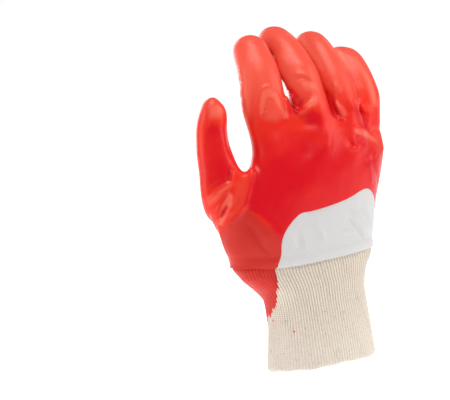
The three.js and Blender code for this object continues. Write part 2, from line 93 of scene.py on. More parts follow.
# The coat's folds by the side that each is drawn from, in millimetres: half width, height (below 0 for
# a crease), and the points of its line.
FOLDS = {
    "back": (
        # the tight fold that leaves the gap of index and middle finger, with the hollow under it
        (1, 2.2, (
            (4.3, 170.6), (7.8, 170.9), (12.2, 173.4), (15.7, 176.4), (18.8, 178.7), (20.3, 181.8),
        )),
        (4, -1.2, ((13, 165.4), (16.3, 163.9))),
        (2.2, -1.2, ((13.1, 182.5), (9.7, 178.1), (6.3, 174))),
        # the fingers' sides swell until they nearly touch above the web
        (7, 1.6, ((7, 176), (5, 186), (3.5, 196), (1.5, 206), (0, 214))),
        (4, 1.3, ((3, 194), (1.5, 202), (0, 210), (-1, 216))),
        (3, 1, ((5.5, 182), (6.5, 176), (7.5, 171.5))),
        (6, 0.8, ((-4, 214), (-2, 202), (-1.5, 190), (-1, 180))),
        # the index knuckle: a flat inside a horseshoe, with two short creases
        (6, 0.8, ((-9.5, 183.5), (-9, 178))),
        (1.1, 1.1, ((-4.2, 188), (-2.9, 183.8), (-1.3, 175.7), (-1.2, 169.4), (0.6, 163.6))),
        (1.1, 0.9, (
            (-17.3, 181.9), (-15.8, 187.2), (-13.9, 191.5), (-10.2, 192.6), (-6.9, 191.2), (-4.2, 188),
        )),
        (1.2, 0.6, ((-15.8, 187.2), (-17.3, 181.9), (-18.8, 175.8), (-19.5, 166))),
        (0.9, -0.5, ((-14.5, 182.2), (-11.5, 183.5), (-8.7, 183.4))),
        (1, -0.6, ((-17.5, 172.8), (-14.8, 174.5), (-11.4, 174.4))),
        (5, -0.7, ((-9.5, 168), (-10, 165))),
        # the middle finger's knuckle creases
        (1, -0.6, ((9, 195.4), (14, 195.4), (20, 192.2))),
        (1.2, 0.7, ((8.6, 197.6), (14.4, 197.8), (21, 194.6))),
        (1.1, 0.6, ((12.5, 190.5), (16.5, 189.8), (20.5, 188.4))),
        (4, 0.6, ((14, 206), (18, 205))),
        # the ring finger's knuckle, its ridge, the small hook under it and the crease beside it
        (3, 0.9, ((33.5, 186), (36, 186), (39.8, 184))),
        (1.1, 1.6, ((34.6, 176.7), (35.4, 172.4), (37.3, 168.6), (39.5, 164.5))),
        (0.9, 1, ((33.7, 165.3), (35.9, 163.4), (39.6, 162.8))),
        (0.9, 0.7, ((34, 160.4), (36.2, 160.7), (38, 161.5))),
        (1.8, -1.3, ((31.3, 183.4), (31.6, 177.8), (32.5, 172.1), (34.8, 166.2))),
        (2.4, -0.9, ((39.5, 176), (41, 171), (43, 166))),
        # the end of the groove between ring and little finger, and the pull line under it
        (2.4, -1.1, ((46.8, 177), (48.8, 171.2), (50.7, 164.6), (52.2, 158.2), (52.7, 154.6))),
        (1.2, 0.9, ((47.7, 178.3), (50.3, 171.7), (52.7, 166.4), (56.9, 164.5))),
        (1.6, 1.1, ((44.5, 158), (47.5, 156.7), (51.2, 153.4), (55.4, 148.6), (59, 144.7))),
        (2.6, -1.3, ((41.3, 145.4), (42.3, 144.6))),
        (2.6, -1.3, ((46.8, 147.4), (48.8, 146.8))),
        (3.5, -1.2, ((60.5, 142.5), (61.3, 139), (61, 136))),
        (1.2, -0.6, ((55.2, 142.4), (56.3, 138.1), (55.9, 132.5))),
        # broad swells over the knuckles
        (9, 0.9, ((22, 150), (28, 146))),
        (5, -0.7, ((14, 150), (12, 145))),
        (8, 0.7, ((-8, 152), (-8, 146))),
        # pull lines at the little finger's edge
        (1.5, -0.7, ((53, 133), (55.5, 122), (55, 112))),
        (1.4, 0.7, ((49, 136), (51.5, 125), (51, 116))),
        (1.2, -0.5, ((58.5, 128), (59, 118))),
        # the long fold between the back of the hand and the thumb
        (2.1, 1.3, (
            (-25.6, 158), (-26.9, 151.2), (-28.4, 141.4), (-30.9, 131.8), (-34.3, 121.5), (-38.5, 112.9),
            (-44.9, 106.2), (-51.4, 102.5),
        )),
        (3, -0.6, ((-23.4, 146), (-25, 136), (-28.5, 125), (-33, 114.5))),
        # the thumb's folds: the small bright one at its root, the arch, and the hollow drop below it
        (1.1, 1, ((-41.9, 139), (-43.9, 135.1), (-43.4, 132.2))),
        (1.2, -1, ((-43.9, 139.6), (-46.2, 135.1), (-45.8, 130.8))),
        (1.3, 1.4, ((-62.1, 120.6), (-56.4, 122.3), (-51, 127.7), (-46.1, 130.1), (-40.8, 131.2))),
        (2, -0.8, ((-58.5, 126.5), (-54, 130.5), (-48.5, 133.5))),
        (1.1, 1.4, ((-46, 123.5), (-50.5, 118.9), (-54.2, 112.5), (-56.4, 107.2))),
        (1.1, 1.4, ((-45.9, 123.2), (-46.1, 119), (-48.5, 113.4), (-52.3, 108), (-55.4, 104.3))),
        (1.2, -0.8, ((-48.9, 116.7), (-51.6, 112.5), (-54.6, 107.7))),
        (2.2, -0.7, ((-40.5, 124), (-42.5, 117), (-46.5, 110.5))),
        (4, -1, ((-42.5, 172), (-41.5, 160), (-41.5, 148))),
        # creases at the index finger's edge
        (1.2, -0.5, ((-30.5, 201), (-27.5, 199.6), (-25, 199))),
        (1.5, 0.5, ((-29.5, 196), (-27, 191), (-28, 186))),
        (1.2, -0.5, ((-29.5, 184.6), (-26.5, 182.6))),
        # the loose cloth beside the bare back: upright folds in the coat
        (2.2, -0.8, ((-37.5, 104), (-33, 92), (-27.5, 82), (-24.5, 76.5))),
        (2.4, 0.6, ((-32, 106), (-27.5, 95), (-23, 87))),
        (2, -0.5, ((-20.5, 112), (-18, 101), (-15, 92))),
    ),
    "palm": (
        # palm side: the wrinkle under the little finger, the crease of the palm and its pull lines
        (1.6, -1.4, ((38, 158), (30, 156.5), (22, 158.5))),
        (1.8, 1.1, ((40, 154), (31, 152.5), (21, 155))),
        (1.8, 1.1, ((39, 161.6), (30, 160.4), (22, 162.6))),
        (2, 1.4, ((1, 141), (7, 138), (16, 146), (20, 158))),
        (1.8, 1.2, ((-8, 152), (-14, 140), (-24, 132))),
        (6, 1.2, ((0, 134), (-6, 126), (-8, 118))),
        (1.8, 1.2, ((-10, 123), (-14, 112), (-16, 98))),
        (3, -1, ((-5, 116), (-9.5, 106), (-11, 94))),
        (3.2, 1.4, ((-22, 92), (-26, 90))),
        (2.2, 1, ((30, 140), (24, 126), (17, 108), (12, 92))),
        (2.6, -1, ((36, 138), (31, 124), (26, 108))),
        (1.7, 1.1, ((48, 124), (46, 112), (47, 100))),
        (1.8, 1.2, ((-22, 116), (-29, 104), (-38, 96))),
        (2.2, -1, ((-17, 112), (-22, 103), (-30, 94))),
        (1.6, 0.9, ((28, 96), (22, 88), (20, 81))),
        (1.8, -0.8, ((4, 92), (3, 86), (4, 80))),
        (1.6, 0.8, ((-14, 92), (-12, 86), (-13, 80))),
        (1.4, -0.9, ((-47, 152), (-42, 150), (-37, 152))),
        (1.4, -0.8, ((-50, 130), (-44, 127), (-38, 130))),
        # creases inside the bent fingers
        (1.5, -1, ((-25, 189), (-20, 188), (-14, 189))),
        (1.5, -1.2, ((-1, 186), (8, 184), (16, 186))),
        (1.5, -1.1, ((24, 182), (31, 180), (38, 182))),
        (1.5, -1, ((42, 178), (50, 175), (58, 178))),
    ),
    "thumb": (
        # the edge of the palm by the thumb
        (1.6, 0.9, ((-14, 122), (-4, 112), (4, 98), (6, 86))),
        (2, -0.9, ((-4, 124), (6, 112), (12, 98))),
    ),
    "little": (
        # the edge of the palm by the little finger
        (2.6, -0.6, ((-2, 152), (6, 149), (13, 151))),
        (2, -0.8, ((0, 122), (4, 108), (3, 92))),
        (1.8, 0.8, ((8, 124), (11, 110), (9, 90))),
    ),
}

# Zones of the coat's colour: painted shade over the lower back and in the hollows, painted highlights
# where the coat is also stretched pale over a swelling, and coat that lies thin on the cloth: softness of
# the edge in millimetres, strength, and an outline drawn from the back.
ZONES = {
    "painted_shade": (
        # painted shade right of the long fold, darker towards the bottom
        (1.2, 1, (
            (-25.2, 160.7), (-26.9, 151.2), (-28.4, 141.4), (-30.9, 131.8), (-34.3, 121.5),
            (-37.7, 113.6), (-33, 109.5), (-26.7, 105.1), (-21.4, 98.1), (-20.1, 87.5), (-15.8, 78.5),
            (-4, 78.3), (17.5, 82.2), (39.4, 89.6), (52.3, 101.7), (62.1, 131.7), (61.2, 145.7),
            (42.9, 153.9), (27.8, 156), (15.9, 160.5), (7.3, 158.9), (-9.3, 164),
        )),
    ),
    "thin": (
        # the dull patch over the wrist on the thumb's side
        (2.2, 0.9, (
            (-56.2, 100.2), (-50, 103.5), (-44, 107.5), (-36.5, 111.4), (-30, 104.5), (-22, 95),
            (-15.5, 85.4), (-12, 77), (-9, 60), (-62, 60), (-62, 90),
        )),
    ),
    # painted shade in the hollows and grooves, and the index finger's shadow painted on the thumb's inner
    # side
    "hollow_shade": (
        # the thumb's middle
        (3, 0.9, (
            (-56.7, 169.3), (-51.3, 172.7), (-43.7, 167.4), (-41.8, 156), (-39.6, 142.5), (-42.2, 138.7),
            (-45.8, 132.9), (-51, 130.2), (-58.2, 129.1), (-63, 133.9), (-63.5, 145.8), (-60.9, 159.4),
        )),
        # its inner side, where the index finger's shadow is painted
        (2.5, 1, (
            (-47.2, 162.4), (-43.6, 163.3), (-42.9, 153.4), (-43, 143), (-46.1, 135.7), (-49.3, 137.6),
            (-49.3, 147.3),
        )),
        # the hollow drop at the thumb's root
        (0.8, 1, (
            (-49.8, 116.7), (-48.7, 114.5), (-51.3, 110.7), (-54.6, 107), (-55.5, 108.5), (-53.1, 113),
        )),
        # beside the gap of index and middle finger
        (1.6, 1, (
            (2.5, 191), (6.5, 190), (9.1, 186.5), (12.5, 180.5), (11.7, 175), (6.3, 171.6), (2, 173.3),
            (0.5, 182),
        )),
        # under the fold that leaves that gap
        (3, 1, ((11.7, 170.1), (17.6, 172.1), (22.6, 167.9), (23, 160.9), (17, 158.2), (11.8, 161))),
        # the grooves between the fingers
        (2, 1, ((28, 186.6), (30.5, 184.9), (33.3, 174.7), (36, 164.6), (32, 165.9), (28.5, 175.4))),
        (2, 0.9, (
            (45.5, 172.3), (49.7, 172.4), (52.8, 165), (54.6, 157.8), (53.1, 152.4), (50, 155),
            (47.1, 164.4),
        )),
        (1.2, 1, ((45.6, 148.6), (49.8, 148.7), (50.7, 145.1), (45.7, 144.4))),
        (1.2, 1, ((39.9, 147.3), (43.3, 146.9), (44.1, 142.6), (39.9, 142.5))),
    ),
    # painted highlights over knuckles, fingers and folds, where the coat is also stretched paler
    "stretch_highlight": (
        # the index knuckle
        (1.5, 0.7, (
            (-15.5, 190), (-11.7, 192.2), (-6.1, 191.8), (-2.9, 185.4), (-1.4, 178.2), (0.5, 169.6),
            (-2.3, 169.3), (-4.7, 177.3), (-7.2, 183.9), (-11.2, 185.9), (-14.9, 178.7), (-18, 172.2),
            (-18.4, 179.2),
        )),
        (3, 0.35, (
            (-14.8, 189.9), (-7.8, 190.3), (-3.4, 181.3), (-2, 171.3), (-8.1, 168), (-16.1, 170.5),
        )),
        # the index finger's sides
        (3, 0.6, (
            (-24.2, 217), (-18.5, 223.1), (-17.2, 212.5), (-19.6, 195.4), (-24.7, 178.7), (-29.4, 165.4),
            (-28.5, 186.2), (-28.2, 203.6),
        )),
        (1.5, 0.8, (
            (-9.6, 226.8), (-7.2, 223.6), (-4.7, 212.1), (-2.4, 203.5), (-3.8, 203.6), (-6.6, 213.1),
            (-10.2, 222.7),
        )),
        # the middle finger
        (4, 0.95, (
            (10.5, 230.9), (17.1, 228.6), (23.9, 217.2), (29.1, 204.6), (30.9, 197.4), (25.6, 199.5),
            (20.1, 210), (13.3, 220.8), (5.8, 227.4),
        )),
        (2.5, 0.8, (
            (9.7, 195.5), (15, 193.3), (21.7, 191.7), (23.9, 187.2), (19.4, 185.1), (14.1, 187.2),
        )),
        (2, 0.8, (
            (11.8, 175.7), (16.6, 179.9), (20, 184.3), (22.9, 180.4), (20.8, 175.1), (15.8, 174.4),
        )),
        # the ring and little fingers
        (3.5, 0.95, (
            (30.6, 225.3), (38.4, 221.4), (45.1, 209.3), (48.8, 196.2), (44.5, 195.5), (39.2, 207.4),
            (32.4, 218.1),
        )),
        # the ring finger's knuckle and ridge
        (1.5, 0.5, ((32.3, 187.4), (37.2, 188.1), (41.5, 184), (39.8, 181.5), (34.4, 182.9))),
        (1.2, 0.5, ((33.7, 177.5), (36.3, 176.4), (39.6, 165.5), (38.1, 164.3), (34.2, 171.1))),
        # the little finger, and the pull line under it
        (2, 0.6, ((48.5, 188.6), (53.4, 189.3), (55.4, 183.5), (51, 182), (48.5, 183.8))),
        (1.5, 0.6, (
            (45.3, 156.3), (52.4, 152.5), (59.9, 145.9), (60.2, 143.1), (51.9, 148.4), (44.2, 153.7),
        )),
        (3, 0.9, (
            (50.8, 209.9), (55.5, 203.7), (61.5, 187.5), (63.3, 170.5), (60.6, 170.9), (57.1, 185.3),
            (52, 198.6),
        )),
        (3, 0.25, ((58.3, 154.5), (62.5, 149.7), (63.2, 139.9), (60, 132), (57.5, 139.3), (56.2, 149.2))),
        # the thumb's tip
        (3, 0.7, ((-53, 185.5), (-46, 185.9), (-42.5, 181.2), (-46, 176.1), (-52.8, 177.1))),
        # the folds at its root
        (1.5, 0.4, (
            (-63.3, 122.1), (-56.7, 124.7), (-50.5, 129.4), (-43.7, 132.6), (-43.4, 129.8),
            (-49.7, 125.1), (-56, 119.7), (-61.9, 117.1),
        )),
        (1.2, 0.8, (
            (-46.2, 124.6), (-44.6, 121.6), (-46.9, 114.9), (-51.3, 108.6), (-54.9, 102.8),
            (-56.8, 103.8), (-55.2, 110.5), (-51.5, 117),
        )),
        (2, 0.15, (
            (-41.4, 129.5), (-33.7, 134.7), (-33.8, 124.2), (-38.5, 115.2), (-44.3, 109), (-49.6, 105.6),
            (-46.9, 114.9), (-43.9, 121.5),
        )),
    ),
}

# Places where the hand is drawn out of its smooth form, seen from the back, in millimetres: middle,
# half widths across and up, and how far it moves across and up.
PULLS = (
    # the thumb's web, which runs down into a point
    ((-34.6, 141), (3.6, 5), (0, -4.5)),
    # the index finger's broad root, and the web beside it, high because both fingers nearly touch
    ((-24, 177), (7, 21), (-5, 0)),
    ((3, 175.5), (2.8, 9.5), (0, 8.5)),
    # the ball of the thumb, the thumb's narrow tip and its inner side
    ((-60, 117), (9, 20), (-3.6, -0.4)),
    ((-49, 188), (5, 5), (0.3, 1.8)),
    ((-60.5, 184), (4.5, 9), (2.2, 0.3)),
    ((-38, 156), (5, 17), (-1.8, 0)),
    # the ring finger's tip and the little finger's tip and outer side
    ((36, 222), (12, 14), (0, 2.6)),
    ((54, 205), (8, 16), (1.5, 3.4)),
    ((61, 184), (9, 26), (4.6, 0)),
)

# Creases of the bare jersey, drawn as the folds are.
PANEL_FOLDS = {
    "back": (
        (1.7, -1.1, ((30, 98), (36, 90), (41, 80))),
        (1.7, 1.1, ((34, 101), (40, 93), (45.5, 83))),
        (1.5, -1, ((40, 104), (44, 97), (47, 88))),
        (1.3, 0.7, ((24, 84), (30, 86.5), (36, 84))),
        (2.4, 0.8, ((8, 96), (12, 88), (14, 80))),
        (2.4, -0.7, ((-6, 90), (-4, 84), (-5, 78))),
    ),
}

# Two specks of coat on the bare knit, and their half width.
SPATTER = ((-29.2, 33.0), (-15.9, 23.4))
SPATTER_SIZE = 0.6

# The lower edge of the coat that has soaked into the cuff: share of the way round from the middle of
# the back by the little finger's side, and height in millimetres.
SOAK_EDGE = (
    (0.318, 62), (0.335, 60.5), (0.36, 56.5), (0.39, 49.5), (0.42, 41.5), (0.47, 33), (0.51, 28.6),
    (0.56, 23), (0.6, 17.6), (0.64, 20), (0.68, 27), (0.72, 34), (0.76, 37.5), (0.79, 41.5),
    (0.808, 46), (0.822, 50.5), (0.831, 54.5), (0.847, 60.5), (0.863, 66),
)


# Sizes and colours


class CoatSettings(bpy.types.PropertyGroup):
    colour: bpy.props.FloatVectorProperty(
        name="Coat", description="Colour of the PVC", subtype="COLOR",
        size=3, min=0, max=1, default=linear("#E62A1C"),
    )
    # painted shade colour for the hollows and the lower back; also the colour of thicker coat in random
    # clouds and of the coat's specks on the cuff
    shade_and_thick_coat_colour: bpy.props.FloatVectorProperty(
        name="Thick coat", description="Colour where the PVC has pooled", subtype="COLOR",
        size=3, min=0, max=1, default=linear("#D40A1C"),
    )
    # painted highlight colour, where the coat is also stretched paler
    stretch_highlight_colour: bpy.props.FloatVectorProperty(
        name="Stretched coat", description="Colour where the PVC is stretched", subtype="COLOR",
        size=3, min=0, max=1, default=linear("#F0705A"),
    )
    thin_colour: bpy.props.FloatVectorProperty(
        name="Thin coat", description="Colour where the cloth greys the PVC", subtype="COLOR",
        size=3, min=0, max=1, default=linear("#C22A24"),
    )
    # painted light: the palm side's more orange red stands in for how the light falls there
    palm_light_colour: bpy.props.FloatVectorProperty(
        name="Palm coat", description="Colour of the palm side", subtype="COLOR",
        size=3, min=0, max=1, default=linear("#E83A14"),
    )
    soaked_colour: bpy.props.FloatVectorProperty(
        name="Soaked coat", description="Colour of the PVC in the cuff's ribs", subtype="COLOR",
        size=3, min=0, max=1, default=linear("#C8281E"),
    )
    wall: bpy.props.FloatProperty(
        name="Wall", description="Thickness of coat and liner",
        default=1.6 * MM, unit="LENGTH", subtype="DISTANCE",
    )
    hem: bpy.props.FloatProperty(
        name="Hem", description="Height of the turned hem",
        default=8 * MM, unit="LENGTH", subtype="DISTANCE",
    )


class JerseySettings(bpy.types.PropertyGroup):
    colour: bpy.props.FloatVectorProperty(
        name="Jersey", description="Colour of the bleached cotton", subtype="COLOR",
        size=3, min=0, max=1, default=linear("#CFCDCC"),
    )
    wall: bpy.props.FloatProperty(
        name="Wall", description="Thickness of the jersey",
        default=1.1 * MM, unit="LENGTH", subtype="DISTANCE",
    )
    lap: bpy.props.FloatProperty(
        name="Lap", description="How far the jersey runs on under the coat",
        default=1.3 * MM, unit="LENGTH", subtype="DISTANCE",
    )


class CuffSettings(bpy.types.PropertyGroup):
    colour: bpy.props.FloatVectorProperty(
        name="Knit", description="Colour of the unbleached cotton", subtype="COLOR",
        size=3, min=0, max=1, default=linear("#DED3C6"),
    )
    # painted shade in the grooves between the ribs
    groove_shade_colour: bpy.props.FloatVectorProperty(
        name="Grooves", description="Colour between the ribs", subtype="COLOR",
        size=3, min=0, max=1, default=linear("#B39E88"),
    )
    ribs: bpy.props.IntProperty(name="Ribs", description="Ribs round the cuff", default=104, min=20, max=140)
    rib_depth: bpy.props.FloatProperty(
        name="Rib depth", description="Height of a rib over its groove",
        default=0.6 * MM, unit="LENGTH", subtype="DISTANCE",
    )
    wall: bpy.props.FloatProperty(
        name="Wall", description="Thickness of the knit",
        default=2.0 * MM, unit="LENGTH", subtype="DISTANCE",
    )
    soak: bpy.props.FloatProperty(
        name="Soaked coat", description="How far the soaked coat stands over the ribs",
        default=0.3 * MM, unit="LENGTH", subtype="DISTANCE",
    )


class StageSettings(bpy.types.PropertyGroup):
    floor_colour: bpy.props.FloatVectorProperty(
        name="Floor", description="Colour of the floor", subtype="COLOR",
        size=3, min=0, max=1, default=linear("#FAFAFA"),
    )
    drop: bpy.props.FloatProperty(
        name="Drop", description="How far the floor lies under the cuff",
        default=70 * MM, unit="LENGTH", subtype="DISTANCE",
    )


# Nodes and materials


def add_node(tree, kind, inputs=None, **settings):
    """Add a node with its settings, and link or set each of its inputs."""
    node = tree.nodes.new(kind)
    for name, value in settings.items():
        setattr(node, name, value)
    for key, value in (inputs or {}).items():
        if isinstance(value, bpy.types.NodeSocket):
            tree.links.new(value, node.inputs[key])
        else:
            node.inputs[key].default_value = value
    return node


def new_material(name):
    """Make an empty material and its shader, and return both."""
    material = bpy.data.materials.new(name)
    material.use_nodes = True
    tree = material.node_tree
    tree.nodes.clear()
    shader = add_node(tree, "ShaderNodeBsdfPrincipled")
    add_node(tree, "ShaderNodeOutputMaterial", {"Surface": shader.outputs[0]})
    return material, tree, shader


# Sizes of the patterns: clouds where the coat ran thicker, its soft unevenness, orange peel and the
# cloth's grain; the jersey's wales, rows, wobble and fuzz; the knit's fuzz, blots and husks; and the
# blots of the soaked coat.
COAT_CLOUDS = 29.4 * MM
COAT_SOFT = 9.09 * MM
COAT_PEEL = 2.5 * MM
COAT_GRAIN = 0.909 * MM
JERSEY_WALE = 1.3 * MM
JERSEY_ROW = 1.1 * MM
JERSEY_WOBBLE = 6.25 * MM
JERSEY_FUZZ = 1.11 * MM
KNIT_FUZZ = 1.0 * MM
KNIT_BLOTS = 2.38 * MM
KNIT_HUSKS = 1.43 * MM
SOAK_BLOTS = 3.85 * MM


def dipped_pvc():
    """PVC plastisol, dipped over jersey and cured: a satin skin that is soft to the light, with a faint
    orange peel and the cloth's grain just showing through, duller and greyer where it is thin."""
    settings = bpy.context.scene.glove_coat
    material, tree, shader = new_material("Dipped_red_PVC_plastisol")
    place = add_node(tree, "ShaderNodeTexCoord").outputs["Object"]
    thin, palm, painted_shade, stretch_highlight = (
        add_node(tree, "ShaderNodeAttribute", attribute_name=name).outputs["Fac"]
        for name in ("thin_coat", "palm_light", "painted_shade_share", "stretch_highlight_share")
    )
    clouds, soft, peel, grain = (
        add_node(tree, "ShaderNodeTexNoise", {
            "Vector": place, "Scale": 1 / size, "Detail": detail,
        }).outputs[0]
        for size, detail in ((COAT_CLOUDS, 2.0), (COAT_SOFT, 2.0), (COAT_PEEL, 1.0), (COAT_GRAIN, 1.0))
    )
    thicker = add_node(tree, "ShaderNodeMapRange", {0: clouds, 1: 0.35, 2: 0.65, 3: -0.35, 4: 0.3})
    # random clouds of thicker coat, with the painted shade added
    clouds_and_shade = add_node(
        tree, "ShaderNodeMath", {0: thicker.outputs[0], 1: painted_shade}, operation="ADD", use_clamp=True,
    )
    # the base colour takes in painted shade, painted highlights, the palm side's painted light and the thin
    # coat
    colour = solid(settings.colour)
    for share, tint in (
        (clouds_and_shade.outputs[0], settings.shade_and_thick_coat_colour), (stretch_highlight, settings.stretch_highlight_colour),
        (palm, settings.palm_light_colour), (thin, settings.thin_colour),
    ):
        mix = add_node(tree, "ShaderNodeMix", {0: share, 6: colour, 7: solid(tint)}, data_type="RGBA")
        colour = mix.outputs[2]
    tree.links.new(colour, shader.inputs["Base Color"])
    uneven = add_node(tree, "ShaderNodeMapRange", {0: soft, 1: 0.3, 2: 0.7, 3: 0.3, 4: 0.4})
    dull = add_node(tree, "ShaderNodeMapRange", {0: thin, 1: 0, 2: 1, 3: 0, 4: 0.16})
    rough = add_node(tree, "ShaderNodeMath", {0: uneven.outputs[0], 1: dull.outputs[0]}, operation="ADD")
    tree.links.new(rough.outputs[0], shader.inputs["Roughness"])
    first = add_node(tree, "ShaderNodeBump", {"Strength": 0.35, "Distance": 0.6 * MM, "Height": soft})
    second = add_node(tree, "ShaderNodeBump", {
        "Strength": 0.3, "Distance": 0.25 * MM, "Height": peel, "Normal": first.outputs[0],
    })
    third = add_node(tree, "ShaderNodeBump", {
        "Strength": 0.15, "Distance": 0.12 * MM, "Height": grain, "Normal": second.outputs[0],
    })
    tree.links.new(third.outputs[0], shader.inputs["Normal"])
    shader.inputs["IOR"].default_value = 1.52
    shader.inputs["Specular IOR Level"].default_value = 0.38
    shader.inputs["Specular Tint"].default_value = linear("#FFB8A6", 1)
    shader.inputs["Coat Weight"].default_value = 0.06
    shader.inputs["Coat Roughness"].default_value = 0.2
    shader.inputs["Coat IOR"].default_value = 1.5
    return material


def bleached_jersey(name="Bleached_cotton_jersey", strength=1.0):
    """Bleached cotton, plain weft knit: matt and a soft white, with upright wales made of small loops."""
    settings = bpy.context.scene.glove_jersey
    material, tree, shader = new_material(name)
    place = add_node(tree, "ShaderNodeTexCoord").outputs["Object"]
    axes = add_node(tree, "ShaderNodeSeparateXYZ", {0: place})
    wobble, fuzz = (
        add_node(tree, "ShaderNodeTexNoise", {
            "Vector": place, "Scale": 1 / size, "Detail": detail,
        }).outputs[0]
        for size, detail in ((JERSEY_WOBBLE, 1.0), (JERSEY_FUZZ, 2.0))
    )
    across = add_node(
        tree, "ShaderNodeMath", {0: wobble, 1: 1.1 * MM, 2: axes.outputs["X"]}, operation="MULTIPLY_ADD",
    )
    waves = []
    for length, size in ((across.outputs[0], JERSEY_WALE), (axes.outputs["Z"], JERSEY_ROW)):
        turns = add_node(tree, "ShaderNodeMath", {0: length, 1: 2 * math.pi / size}, operation="MULTIPLY")
        waves.append(add_node(tree, "ShaderNodeMath", {0: turns.outputs[0]}, operation="SINE").outputs[0])
    wale, course = waves
    loops = add_node(tree, "ShaderNodeMath", {0: course, 1: 0.2, 2: wale}, operation="MULTIPLY_ADD")
    height = add_node(
        tree, "ShaderNodeMath", {0: fuzz, 1: 1.6, 2: loops.outputs[0]}, operation="MULTIPLY_ADD",
    )
    shade = add_node(tree, "ShaderNodeMapRange", {0: height.outputs[0], 1: -1.0, 2: 2.2})
    grey = tuple(c * 0.93 for c in settings.colour[:3]) + (1.0,)
    colour = add_node(
        tree, "ShaderNodeMix", {0: shade.outputs[0], 6: grey, 7: solid(settings.colour)}, data_type="RGBA",
    )
    tree.links.new(colour.outputs[2], shader.inputs["Base Color"])
    bump = add_node(tree, "ShaderNodeBump", {
        "Strength": 0.35 * strength, "Distance": 0.15 * MM, "Height": height.outputs[0],
    })
    tree.links.new(bump.outputs[0], shader.inputs["Normal"])
    shader.inputs["Roughness"].default_value = 0.88
    shader.inputs["IOR"].default_value = 1.45
    shader.inputs["Specular IOR Level"].default_value = 0.3
    shader.inputs["Sheen Weight"].default_value = 0.25
    shader.inputs["Sheen Roughness"].default_value = 0.5
    return material


def rib_knit():
    """Unbleached cotton in a rib: matt cream, with painted shade in the grooves between the ribs, the loops
    that dot them, and specks of seed husk."""
    settings = bpy.context.scene.glove_cuff
    material, tree, shader = new_material("Unbleached_cotton_rib_knit")
    place = add_node(tree, "ShaderNodeTexCoord").outputs["Object"]
    ribs = add_node(tree, "ShaderNodeUVMap", uv_map="ribs").outputs[0]
    axes = add_node(tree, "ShaderNodeSeparateXYZ", {0: ribs})
    wave = add_node(tree, "ShaderNodeMath", {0: axes.outputs["X"], 1: 2 * math.pi}, operation="MULTIPLY")
    rib = add_node(tree, "ShaderNodeMath", {0: wave.outputs[0]}, operation="COSINE").outputs[0]
    rows = add_node(tree, "ShaderNodeMath", {0: axes.outputs["Y"], 1: 2 * math.pi}, operation="MULTIPLY")
    loop = add_node(tree, "ShaderNodeMath", {0: rows.outputs[0]}, operation="SINE").outputs[0]
    fuzz, blots, husk = (
        add_node(tree, "ShaderNodeTexNoise", {
            "Vector": place, "Scale": 1 / size, "Detail": detail,
        }).outputs[0]
        for size, detail in ((KNIT_FUZZ, 2.0), (KNIT_BLOTS, 2.0), (KNIT_HUSKS, 0.0))
    )
    # painted shade in the grooves between the ribs, made uneven by random blots
    uneven = add_node(tree, "ShaderNodeMath", {0: blots, 1: 2.2, 2: rib}, operation="MULTIPLY_ADD")
    groove = add_node(tree, "ShaderNodeMapRange", {0: uneven.outputs[0], 1: 1.2, 2: 0.1})
    dots = add_node(tree, "ShaderNodeMapRange", {0: loop, 1: -0.6, 2: 0.9, 3: 0.35, 4: 1.3})
    # the painted groove shade fades towards the foot, where the ribs are pulled open
    height = add_node(tree, "ShaderNodeSeparateXYZ", {0: place}).outputs["Z"]
    open_ribs = add_node(tree, "ShaderNodeMapRange", {0: height, 1: 12 * MM, 2: 50 * MM, 3: 0.3, 4: 1.1})
    depth = groove.outputs[0]
    for share in (dots.outputs[0], open_ribs.outputs[0]):
        depth = add_node(tree, "ShaderNodeMath", {0: depth, 1: share}, operation="MULTIPLY").outputs[0]
    speck = add_node(tree, "ShaderNodeMapRange", {0: blots, 1: 0.5, 2: 0.72, 3: 0, 4: 0.3})
    shade = add_node(
        tree, "ShaderNodeMath", {0: depth, 1: speck.outputs[0]}, operation="ADD", use_clamp=True,
    )
    husks = add_node(tree, "ShaderNodeMapRange", {0: husk, 1: 0.77, 2: 0.81, 3: 0, 4: 0.5})
    spatter = add_node(tree, "ShaderNodeAttribute", attribute_name="spatter").outputs["Fac"]
    colour = solid(settings.colour)
    for share, tint in (
        (shade.outputs[0], solid(settings.groove_shade_colour)), (husks.outputs[0], linear("#8F7C60", 1)),
        (spatter, solid(bpy.context.scene.glove_coat.shade_and_thick_coat_colour)),
    ):
        mix = add_node(tree, "ShaderNodeMix", {0: share, 6: colour, 7: tint}, data_type="RGBA")
        colour = mix.outputs[2]
    tree.links.new(colour, shader.inputs["Base Color"])
    relief = add_node(tree, "ShaderNodeMath", {0: loop, 1: 0.4, 2: fuzz}, operation="MULTIPLY_ADD")
    bump = add_node(tree, "ShaderNodeBump", {
        "Strength": 0.6, "Distance": 0.25 * MM, "Height": relief.outputs[0],
    })
    tree.links.new(bump.outputs[0], shader.inputs["Normal"])
    shader.inputs["Roughness"].default_value = 0.92
    shader.inputs["IOR"].default_value = 1.45
    shader.inputs["Specular IOR Level"].default_value = 0.25
    shader.inputs["Sheen Weight"].default_value = 0.3
    shader.inputs["Sheen Roughness"].default_value = 0.5
    return material


